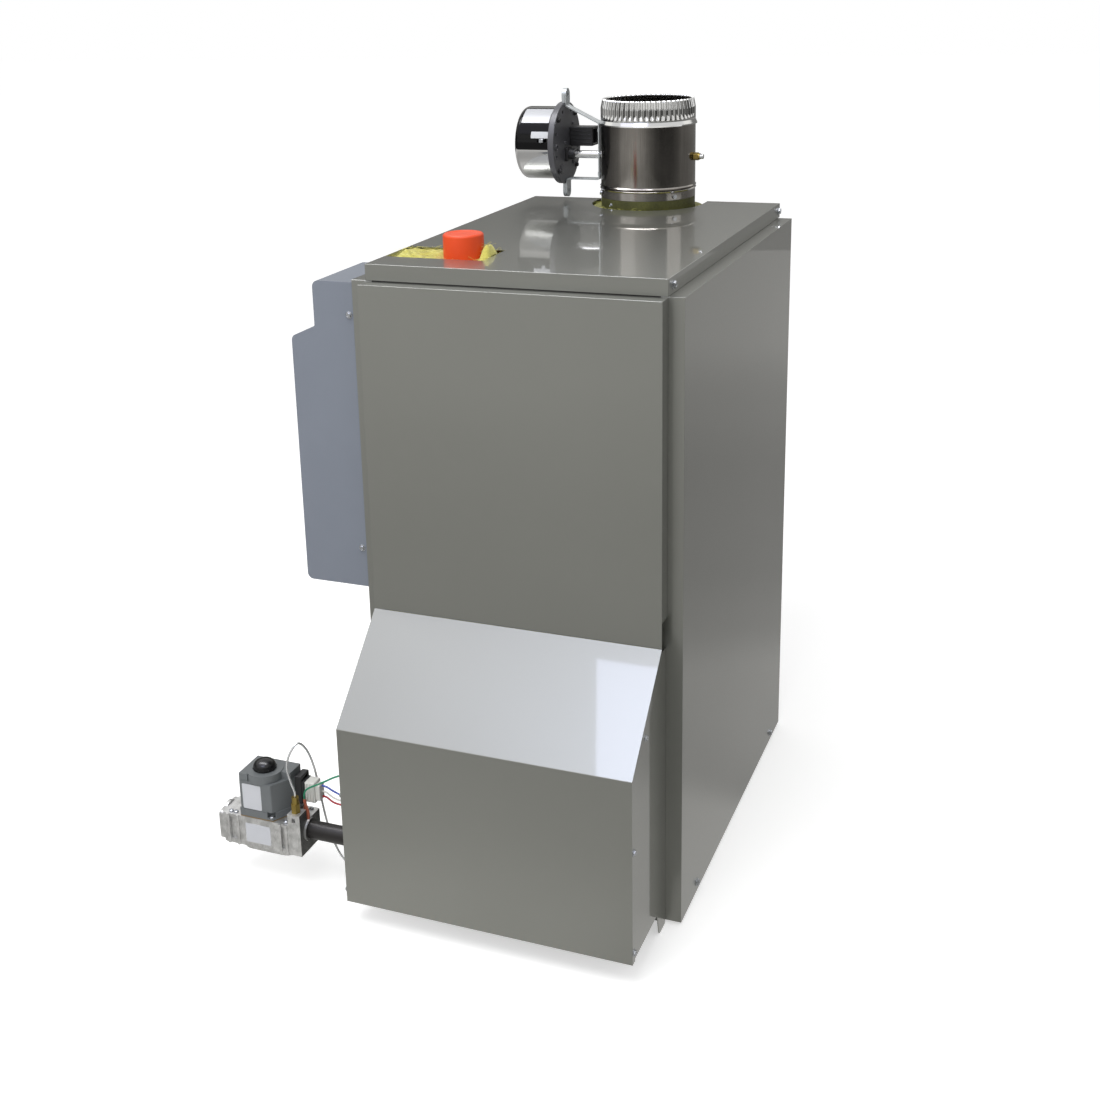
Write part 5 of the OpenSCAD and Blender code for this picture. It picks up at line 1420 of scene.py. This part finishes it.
def flute_recipe() -> Recipe:
    """Crimps an open sleeve into flutes that run out towards its foot.

    Returns:
        The tree, with the sleeve's sizes and its number of crimps as inputs.
    """
    made = Recipe("crimped_sleeve", {
        "Crimps": ("int", 54), "Depth": ("float", 0.0034), "Radius": ("float", 0.0762),
        "Top radius": ("float", 0.0734), "Foot": ("float", 0.0), "Height": ("float", 0.033),
        "Axis": ("vector", (0.0, 0.0, 0.0)), "Material": ("material", None)})
    tree, source = made.tree, made.source
    place = add(tree, "GeometryNodeInputPosition")
    xyz = add(tree, "ShaderNodeSeparateXYZ", {0: place.outputs[0]})
    angle = add(tree, "ShaderNodeMath", {0: xyz.outputs[1], 1: xyz.outputs[0]}, operation="ARCTAN2")
    turns = add(tree, "ShaderNodeMath", {0: angle.outputs[0], 1: source.outputs["Crimps"]},
                operation="MULTIPLY")
    wave = add(tree, "ShaderNodeMath", {0: turns.outputs[0]}, operation="SINE")
    edge = add(tree, "ShaderNodeMapRange", {"Value": wave.outputs[0], "From Min": -0.55, "From Max": 0.75,
                                            "To Min": 1.0, "To Max": 0.0}, interpolation_type="SMOOTHSTEP")
    foot = add(tree, "ShaderNodeMapRange", {"Value": xyz.outputs[2], "From Min": 0.02, "From Max": 0.3,
                                            "To Min": 0.0, "To Max": 1.0}, interpolation_type="SMOOTHSTEP")
    dent = add(tree, "ShaderNodeMath", {0: edge.outputs[0], 1: foot.outputs[0]}, operation="MULTIPLY")
    deep = add(tree, "ShaderNodeMath", {0: dent.outputs[0], 1: source.outputs["Depth"]},
               operation="MULTIPLY")
    taper = add(tree, "ShaderNodeMapRange", {"Value": xyz.outputs[2], "From Min": 0.56, "From Max": 1.0,
                                             "To Min": source.outputs["Radius"],
                                             "To Max": source.outputs["Top radius"]})
    reach = add(tree, "ShaderNodeMath", {0: taper.outputs[0], 1: deep.outputs[0]}, operation="SUBTRACT")
    cosine = add(tree, "ShaderNodeMath", {0: angle.outputs[0]}, operation="COSINE")
    sine = add(tree, "ShaderNodeMath", {0: angle.outputs[0]}, operation="SINE")
    x = add(tree, "ShaderNodeMath", {0: cosine.outputs[0], 1: reach.outputs[0]}, operation="MULTIPLY")
    y = add(tree, "ShaderNodeMath", {0: sine.outputs[0], 1: reach.outputs[0]}, operation="MULTIPLY")
    z = add(tree, "ShaderNodeMath", {0: xyz.outputs[2], 1: source.outputs["Height"],
                                     2: source.outputs["Foot"]}, operation="MULTIPLY_ADD")
    spot = add(tree, "ShaderNodeCombineXYZ", {0: x.outputs[0], 1: y.outputs[0], 2: z.outputs[0]})
    moved = add(tree, "ShaderNodeVectorMath", {0: spot.outputs[0], 1: source.outputs["Axis"]})
    fluted = add(tree, "GeometryNodeSetPosition", {"Geometry": source.outputs[0],
                                                   "Position": moved.outputs[0]})
    made.close(fluted.outputs[0])
    return made


@dataclass
class VentDamper(SubAssembly):
    """Crimped and beaded damper pipe with its blade, rod, strap and the collar below it.

    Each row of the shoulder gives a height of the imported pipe, and the height and the radius
    that its vertices move to.
    """

    eased: Sequence[Softened] = (
        Softened("damper_blade", "damper_disc", STAINLESS, Body.DAMPER, 0.5),
        Softened("shaft_bushing", "rod_bushing", BRASS, fold=0.5),
        Softened("motor_bracket", "strap_bracket", ZINC, fold=0.5, edge=0.4),
        Softened("damper_screws", "strap_screws", SCREW_ZINC, fold=0.4))
    axis: Pair = (0.0, 285.5)
    radius: float = 76.2
    sheet: float = 0.5
    crimps: int = 54
    crimp_rows: int = 14
    shoulder: Sequence[Point] = ((1042.8, 1045.2, 76.2), (1046.2, 1045.8, 78.8), (1049.6, 1047.6, 78.4),
                                 (1053.0, 1053.2, 75.7))
    rod_z: float = 994.0
    coupling_end: float = -124.0
    sleeve_x: Pair = (-131.0, -84.0)
    sleeve_r: Pair = (5.7, 4.1)
    collar: Pair = (75.2, 76.0)
    gap_z: Pair = (906.0, 930.1)
    screw_turn: float = 236.0
    screw_z: float = 921.0

    def pipe(self) -> None:
        """Makes the beaded pipe, with a bright shoulder that slopes in to the crimped end."""
        piece = Softened("damper_pipe", "damper_pipe_sheet", VENT_STEEL, fold=0.4, edge=0.2).build()
        piece.data.materials.append(BRIGHT_STEEL.material())
        for vertex in piece.data.vertices:
            x, y, z = vertex.co / MM
            for low, height, radius in self.shoulder:
                if abs(z - low) < 0.3 and math.hypot(x, y - self.axis[1]) > self.radius - 0.4:
                    turn = math.atan2(y - self.axis[1], x)
                    vertex.co = metres((radius * math.cos(turn), self.axis[1] + radius * math.sin(turn),
                                        height))
        for face in piece.data.polygons:
            face.material_index = int(face.center.z > self.shoulder[1][1] * MM)

    def crimped_end(self) -> None:
        """Crimps the outlet end, with Geometry Nodes for the flutes."""
        low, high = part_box("crimped_collar")
        sleeve = bmesh.new()
        turns = self.crimps * 8
        loops = [[sleeve.verts.new((c, s, j / self.crimp_rows)) for c, s in round_steps(turns)]
                 for j in range(self.crimp_rows + 1)]
        for a, b in zip(loops, loops[1:]):
            for i in range(turns):
                k = (i + 1) % turns
                sleeve.faces.new((a[i], a[k], b[k], b[i]))
        piece = flute_recipe().run("crimped_end", sleeve, {
            "Crimps": self.crimps, "Radius": self.radius * MM, "Foot": low.z,
            "Height": high.z - low.z, "Axis": (self.axis[0] * MM, self.axis[1] * MM, 0.0),
            "Material": BRIGHT_STEEL.material()})
        thick = piece.modifiers.new("wall", "SOLIDIFY")
        thick.thickness, thick.offset = self.sheet * MM, -1.0
        seat_piece(piece, BRIGHT_STEEL, Body.BOILER, "crimped_collar")

    def rod(self) -> None:
        """Makes the rod, black at its motor end, with the sleeve over it."""
        rod = as_mesh(Softened("damper_shaft", "damper_rod", BRIGHT_STEEL, Body.DAMPER, 0.6, 0.4).build())
        rod.data.materials.append(BLACK_ABS.material())
        for face in rod.data.polygons:
            face.material_index = int(face.center.x < self.coupling_end * MM)
        low, high = self.sleeve_x
        outer, inner = self.sleeve_r
        sleeve = lathe([(outer, low), (outer, high), (inner, high), (inner, low)],
                       (0, self.axis[1], self.rod_z), Axis.X, 48)
        seat_piece(new_piece("rod_sleeve", sleeve), ZINC, Body.DAMPER)

    def collar_band(self, screws: Recipe) -> None:
        """Makes the olive band on the collar in the gap below the pipe, its colour a painted reflection of
        the yellow wool and painted shade, and the screw that holds it.

        Args:
            screws: the tree from screw_recipe().
        """
        (inner, outer), (low, high) = self.collar, self.gap_z
        band = lathe([(outer, low), (outer, high), (inner, high), (inner, low)], (*self.axis, 0))
        # The band's olive finish is painted reflection and painted shade
        seat_piece(new_piece("collar_band", band), COLLAR_PAINTED_REFLECTION, Body.BOILER)
        turn = math.radians(self.screw_turn)
        c, s = math.cos(turn), math.sin(turn)
        spot = (self.axis[0] + outer * c, self.axis[1] + outer * s, self.screw_z)
        ScrewSet("collar_screw", [(spot, (c, s, 0))], Body.BOILER, radius=2.6, height=2.0, shank=1.2,
                 length=0.5).build(screws)

    def build(self, screws: Recipe) -> None:
        """Makes the pipe, what turns in it and the band below it.

        Args:
            screws: the tree from screw_recipe().
        """
        self.pipe()
        self.dress()
        self.crimped_end()
        self.rod()
        self.collar_band(screws)


@dataclass
class DamperMotor(SubAssembly):
    """Motor can with a black wrap over its upper half, gear plate, socket box and slider.

    The can lies along x. Angles round it start at the front and go up, and distances off the
    gear plate start at plate_x.
    """

    eased: Sequence[Softened] = (
        Softened("motor_plate", "gear_plate", MOTOR_PAINT, fold=1.2, edge=0.6),
        Softened("damper_receptacle", "plug_socket_box", BLACK_ABS, fold=1.5, edge=0.6),
        Softened("hold_open_switch", "hold_open_slider", SCREW_ZINC, Body.SWITCH, 0.4))
    axis: Pair = (285.5, 1012.5)
    radius: float = 59.0
    plate_x: float = -139.0
    rod_z: float = 994.0
    black_from: float = -5.0
    black_to: float = 200.0
    # Name, from where to where along the can and round it
    labels: Sequence[tuple[str, Pair, Pair]] = (("motor_label", (-201.0, -153.5), (38.0, 71.0)),
                                                ("motor_strip_label", (-181.0, -150.6), (12.5, 23.0)))
    label_skin: Pair = (0.05, 0.2)
    lug_x: Pair = (-144.0, -138.85)
    lug_out: float = 78.6
    lug_r: float = 9.8
    lug_foot: float = 13.0
    # Place across, height and radius
    bosses: Sequence[Point] = ((233.2, 1010.7, 5.4), (336.3, 1004.8, 5.0), (312.8, 1042.0, 2.6),
                               (274.6, 1013.8, 2.6), (313.3, 978.3, 3.4), (227.7, 1048.1, 2.2))
    pad: tuple[Pair, Pair] = ((254.0, 966.0), (266.0, 979.0))
    drive_half: float = 11.0
    drive_out: float = 5.0
    # Radius and distance off the gear plate
    nut: Sequence[Pair] = ((9.2, 5.2), (9.2, 14.4), (8.2, 15.4), (6.4, 15.4), (6.4, 5.2))
    rib_shares: Sequence[float] = (0.16, 0.36, 0.56, 0.76)
    screw_ring: float = 58.5
    screw_turns: Sequence[float] = (-44, 50, 136, 226)

    def can(self) -> None:
        """Splits the can's finish at the edge of the wrap."""
        piece = Softened("motor_can", "motor_housing", CHROME, fold=0.5).build()
        piece.data.materials.append(CAN_BLACK.material())
        for face in piece.data.polygons:
            y, z = face.center.y / MM - self.axis[0], face.center.z / MM - self.axis[1]
            angle = math.degrees(math.atan2(z, -y))
            angle += 360 if angle < -90 else 0
            if math.hypot(y, z) > self.radius * 0.8 and self.black_from < angle < self.black_to:
                face.material_index = 1

    def label(self, name: str, x: Pair, turns: Pair) -> None:
        """Lays a blank label round part of the can.

        Args:
            name: the piece's name.
            x: from where to where along the can.
            turns: from where to where round it, in degrees.
        """
        steps = 12
        low, high = (self.radius + skin for skin in self.label_skin)
        rings = []
        for i in range(steps + 1):
            a = math.radians(turns[0] + (turns[1] - turns[0]) * i / steps)
            rings.append([(side, self.axis[0] - r * math.cos(a), self.axis[1] + r * math.sin(a))
                          for side, r in ((x[0], low), (x[1], low), (x[1], high), (x[0], high))])
        seat_piece(new_piece(name, loft(rings, ends=True)), LABEL, Body.BOILER)

    def lug(self, side: int) -> Shape:
        """Makes the rounded lug behind one eye of the strap, its foot eased and its arc sharp.

        Args:
            side: 1 above the motor, -1 below it.

        Returns:
            The lug, in metres.
        """
        y, z, r = self.axis[0], self.axis[1] + side * self.lug_out, self.lug_r
        foot = z - side * self.lug_foot
        outline = [(y + r * c, z + side * r * s) for c, s in round_steps(40)[:21]]
        outline += [(y - r, foot), (y + r, foot)]
        shape = bmesh.new()
        near, far = ([shape.verts.new(metres((x, *spot))) for spot in outline]
                     for x in reversed(self.lug_x))
        shape.faces.new(near)
        shape.faces.new(far)
        for i, _ in enumerate(outline):
            j = (i + 1) % len(outline)
            shape.faces.new((near[i], near[j], far[j], far[i]))
        rims = [e for e in shape.edges if abs(e.verts[0].co.x - e.verts[1].co.x) < 1e-7]
        bmesh.ops.bevel(shape, geom=rims, offset=0.9 * MM, segments=3, profile=0.5, affect="EDGES")
        bmesh.ops.recalc_face_normals(shape, faces=shape.faces)
        return shape

    def plate_details(self) -> None:
        """Makes the gear plate's bosses, and the drive block and the nut that the rod ends in."""
        x, (y, z) = self.plate_x, (self.axis[0], self.rod_z)
        bosses = [lathe([(r, x - 0.5), (r, x + 1.6), (r - 0.5, x + 2.1), (r * 0.5, x + 2.1),
                         (r * 0.5, x + 0.5), (0, x + 0.5)], (0, across, height), Axis.X, 32)
                  for across, height, r in self.bosses]
        low, high = self.pad
        bosses.append(block((x - 0.5, *low), (x + 1.6, *high), 0.8))
        seat_piece(new_piece("gear_plate_bosses", join(bosses)), MOTOR_PAINT, Body.BOILER)
        half = self.drive_half
        drive = block((x - 0.5, y - half, z - half), (x + self.drive_out, y + half, z + half), 1.0)
        seat_piece(new_piece("rod_drive_block", drive), BLACK_ABS, Body.BOILER)
        nut = lathe([(r, x + out) for r, out in self.nut], (0, y, z), Axis.X, 6)
        seat_piece(new_piece("rod_drive_hexagon", nut), BLACK_ABS, Body.DAMPER)

    def socket_ribs(self) -> None:
        """Makes the ribs across the front of the socket box."""
        low, high = (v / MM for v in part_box("damper_receptacle"))
        ribs = [block((low.x + 4.0, low.y - 0.9, z), (high.x - 3.0, low.y + 0.4, z + 1.6), 0.4)
                for z in (low.z + (high.z - low.z) * share for share in self.rib_shares)]
        seat_piece(new_piece("socket_box_ribs", join(ribs)), BLACK_ABS, Body.BOILER)

    def build(self, screws: Recipe) -> None:
        """Makes the motor and what stands on its plate.

        Args:
            screws: the tree from screw_recipe().
        """
        seat_piece(new_piece("strap_lugs", join([self.lug(1), self.lug(-1)])), ZINC, Body.BOILER)
        self.can()
        for label in self.labels:
            self.label(*label)
        self.dress()
        self.plate_details()
        self.socket_ribs()
        places = [((self.plate_x + 0.1, self.axis[0] + self.screw_ring * math.cos(a),
                    self.axis[1] + self.screw_ring * math.sin(a)), (1, 0, 0))
                  for a in map(math.radians, self.screw_turns)]
        ScrewSet("gear_plate_screws", places, Body.BOILER, radius=3.6, height=4.0, shank=2.0,
                 length=0.5, finish=KNOB).build(screws)


@dataclass
class GasValve(SubAssembly):
    """Die-cast valve body under a moulded cover, with its labels, plug and fittings."""

    eased: Sequence[Softened] = (
        Softened("valve_gasket", "valve_gasket_sheet", GASKET, fold=0.3, edge=0.2),
        Softened("gas_valve_cover", "valve_cover_moulding", VALVE_PLASTIC, fold=1.5, edge=0.8),
        Softened("valve_terminal_block", "terminal_block", BLACK_ABS, fold=0.8, edge=0.5),
        Softened("valve_plug", "lead_plug", NYLON, fold=1.2, edge=0.8),
        Softened("pilot_fitting", "pilot_nut", BRASS, fold=0.5))
    # Name, left and right edge, lower and upper edge, and the plane that carries it
    labels: Sequence[tuple[str, Pair, Pair, float]] = (
        ("cover_label", (-396.5, -365.5), (126.0, 166.0), -432.1),
        ("casting_label", (-395.0, -353.5), (71.5, 102.3), -433.5))
    pan_places: Sequence[Point] = (
        (-351.0, -429.9, 116.9), (-421.99, -426.5, 112.1), (-413.97, -426.5, 112.1),
        (-330.0, -426.5, 112.1), (-313.0, -381.5, 112.1))
    rib_x: Sequence[float] = (-309.4, -304.5, -299.6)
    rib_y: float = -397.5
    rib_z: Pair = (134.8, 163.3)
    knob_r: float = 17.5
    knob_h: float = 15.0
    knob_skirt: float = 4.0
    knob_flat: float = 0.8
    knob_bumps: int = 14
    stem_r: float = 5.8
    flange: tuple[Point, Point] = ((-439.8, -433.3, 66.0), (-430.0, -385.0, 111.8))
    flange_square: float = 0.22
    inlet: Pair = (-407.5, 96.0)
    inlet_r: float = 12.6
    painted_shade_from: float = -306.0

    def label(self, name: str, x: Pair, z: Pair, y: float) -> None:
        """Sticks a blank label with rounded corners on the front.

        Args:
            name: the piece's name.
            x: its left and right edges.
            z: its lower and upper edges.
            y: the plane that it is stuck to.
        """
        shape = block((x[0], y - 0.2, z[0]), (x[1], y - 0.05, z[1]))
        upright = [e for e in shape.edges if abs(e.verts[0].co.y - e.verts[1].co.y) > 1e-6]
        bmesh.ops.bevel(shape, geom=upright, offset=2.0 * MM, segments=5, profile=0.5, affect="EDGES")
        seat_piece(new_piece(name, shape), LABEL, Body.BOILER)

    def knob(self, screws: Recipe) -> None:
        """Turns the domed knob, cuts its one flat and sets the bumps round its skirt.

        Args:
            screws: the tree from screw_recipe().
        """
        low, high = (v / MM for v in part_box("valve_knob"))
        x, y, r = (low.x + high.x) / 2, (low.y + high.y) / 2, self.knob_r
        foot, top = high.z - self.knob_h, high.z
        waist = foot + self.knob_skirt
        dome = [((r - 0.9) * math.cos(a), waist + 0.5 + (top - waist - 0.5) * math.sin(a))
                for a in (math.pi / 2 * k / 16 for k in range(16))]
        body = lathe([(0, low.z), (self.stem_r, low.z), (self.stem_r, foot), (r - 1.2, foot),
                      (r - 0.6, foot + 0.6), (r - 0.6, waist - 0.4), *dome, (0, top)],
                     (x, y, 0), turns=64, close=False)
        for vertex in body.verts:
            if vertex.co.z > waist * MM:
                vertex.co.x = max(vertex.co.x, (x - r * self.knob_flat) * MM)
        seat_piece(new_piece("gas_cock_knob", body, 40), KNOB, Body.KNOB, "valve_knob")
        r -= 0.7
        ring = [((x + r * math.cos(a), y + r * math.sin(a), foot + self.knob_skirt / 2),
                 (math.cos(a), math.sin(a), 0))
                for a in (math.tau * (k + 0.5) / self.knob_bumps for k in range(self.knob_bumps))]
        ScrewSet("knob_skirt_bumps", ring, Body.KNOB, radius=1.4, height=0.9, shank=1.0, length=0.4,
                 head=Head.BUMP, finish=KNOB).build(screws)

    def inlet_flange(self) -> None:
        """Makes the square flange round the threaded inlet."""
        (x0, y0, z0), (x1, y1, z1) = self.flange
        steps = round_steps(64)
        bore = [(self.inlet[0] + self.inlet_r * c, self.inlet[1] + self.inlet_r * s) for c, s in steps]
        rim = [((y0 + y1) / 2 + (y1 - y0) / 2 * squared(c, self.flange_square),
                (z0 + z1) / 2 + (z1 - z0) / 2 * squared(s, self.flange_square)) for c, s in steps]
        rings = [[(x, *spot) for spot in outline]
                 for x, outline in ((x0, bore), (x0, rim), (x1, rim), (x1, bore))]
        seat_piece(new_piece("inlet_flange", loft(rings, close=True)), CAST_ALUMINIUM, Body.BOILER)

    def casting(self) -> None:
        """Makes the casting, with painted shade on its outlet end: that end face gets a darker copy of the
        finish.
        """
        eased = Softened("gas_valve_body", "valve_casting", CAST_ALUMINIUM, fold=0.9, edge=0.5)
        piece = as_mesh(eased.build())
        piece.data.materials.append(PAINTED_SHADE_CASTING.material())
        for face in piece.data.polygons:
            # Faces at the outlet end that point along +x take the darker copy: painted shade
            face.material_index = int(face.normal.x > 0.8 and face.center.x > self.painted_shade_from * MM)

    def plug(self) -> None:
        """Adds the grip ribs of the white plug."""
        low, high = self.rib_z
        ribs = [block((x - 1.1, self.rib_y - 1.3, low), (x + 1.1, self.rib_y + 0.5, high), 0.5)
                for x in self.rib_x]
        seat_piece(new_piece("plug_ribs", join(ribs)), NYLON, Body.BOILER)

    def build(self, screws: Recipe) -> None:
        """Makes the valve.

        Args:
            screws: the tree from screw_recipe().
        """
        self.casting()
        self.dress()
        for label in self.labels:
            self.label(*label)
        self.plug()
        self.knob(screws)
        self.inlet_flange()
        ScrewSet("valve_pan_screws", [(p, (0, 0, 1)) for p in self.pan_places], Body.BOILER, "valve_screws",
                 radius=3.6, height=2.6, shank=1.5, length=0.05, head=Head.PAN).build(screws)


@dataclass
class Wiring:
    """The pilot gas tube, the leads in the valve's plug and the earth lead's boot."""

    tube_r: float = 1.6
    wire_r: float = 1.4
    boot_at: Pair = (-310.0, -404.0)
    boot_z: Pair = (112.3, 141.5)
    lean: Pair = (6.0, -4.0)
    # Share of the way up, and half the width and the depth there
    boot_sections: Sequence[Point] = (
        (0.0, 2.6, 1.4), (0.04, 3.3, 1.8), (0.3, 4.3, 1.8), (0.5, 3.9, 1.8), (0.68, 2.1, 1.9),
        (0.8, 1.9, 2.0), (0.9, 2.3, 2.2), (1.0, 1.6, 1.6))
    boot_square: float = 0.6

    def boot(self) -> None:
        """Moulds the flattened boot that narrows up to the earth lead."""
        low, high = self.boot_z
        rings = []
        for share, wide, deep in self.boot_sections:
            x, y = (at + lean * (1 - share) for at, lean in zip(self.boot_at, self.lean))
            rings.append([(x + wide * squared(c, self.boot_square), y + deep * squared(s, self.boot_square),
                           low + (high - low) * share) for c, s in round_steps(24)])
        seat_piece(new_piece("earth_lead_boot", loft(rings, ends=True), 50), SPADE_BOOT, Body.BOILER,
                   "ground_wire")

    def build(self, tubes: Recipe) -> None:
        """Makes the boot, the tube and the four leads.

        Args:
            tubes: the tree from tube_recipe().
        """
        self.boot()
        Lead("pilot_gas_tube", PILOT_ROUTE, self.tube_r, TUBE_ALUMINIUM, "pilot_tube",
             free=False).build(tubes)
        for name, route, finish, node, fittings in (
                ("green_lead", GROUND_ROUTE, GREEN_WIRE, "ground_wire", ("earth_lead_boot",)),
                ("blue_lead", BLUE_ROUTE, BLUE_WIRE, "blue_wire", ()),
                ("white_lead", WHITE_ROUTE, WHITE_WIRE, "white_wire", ()),
                ("red_lead", RED_ROUTE, RED_WIRE, "red_wire", ())):
            Lead(name, route, self.wire_r, finish, node, fittings=fittings).build(tubes)


@dataclass
class ControlBox(SubAssembly):
    """Moulded cover on the left side, over a back plate, transformer and relay board."""

    eased: Sequence[Softened] = (
        Softened("control_box_base", "control_back_plate", ZINC, fold=0.5),
        Softened("control_cover", "control_box_moulding", CONTROL_ABS, fold=3.0, edge=0.8, steps=4),
        Softened("transformer", "transformer_core", TRANSFORMER, fold=1.0, edge=0.6),
        Softened("control_relay", "relay_board", CIRCUIT, fold=0.6, edge=0.4))
    screw_z: Pair = (844.5, 505.5)
    screw_x: float = -241.8
    front: float = -309.6

    def build(self, screws: Recipe) -> None:
        """Makes the box, what it covers and its screws.

        Args:
            screws: the tree from screw_recipe().
        """
        self.dress()
        places = [((self.screw_x, self.front, z), (0, -1, 0)) for z in self.screw_z]
        ScrewSet("control_screw_heads", places, Body.BOILER, "control_screws", radius=4.0, height=3.2,
                 length=2.5).build(screws)


def main() -> None:
    """Builds the studio and every piece."""
    logging.basicConfig(level=logging.INFO, format="%(message)s")
    Studio().build()
    screws = screw_recipe()
    Wiring().build(tube_recipe())
    Jacket().build(screws)
    BurnerHood().build(screws)
    for group in (HeatExchanger(), BurnerTrain(), FluePassages()):
        group.dress()
    WaterPipes().build()
    Wool().build()
    VentDamper().build(screws)
    DamperMotor().build(screws)
    GasValve().build(screws)
    ControlBox().build(screws)


if __name__ == "__main__":
    main()
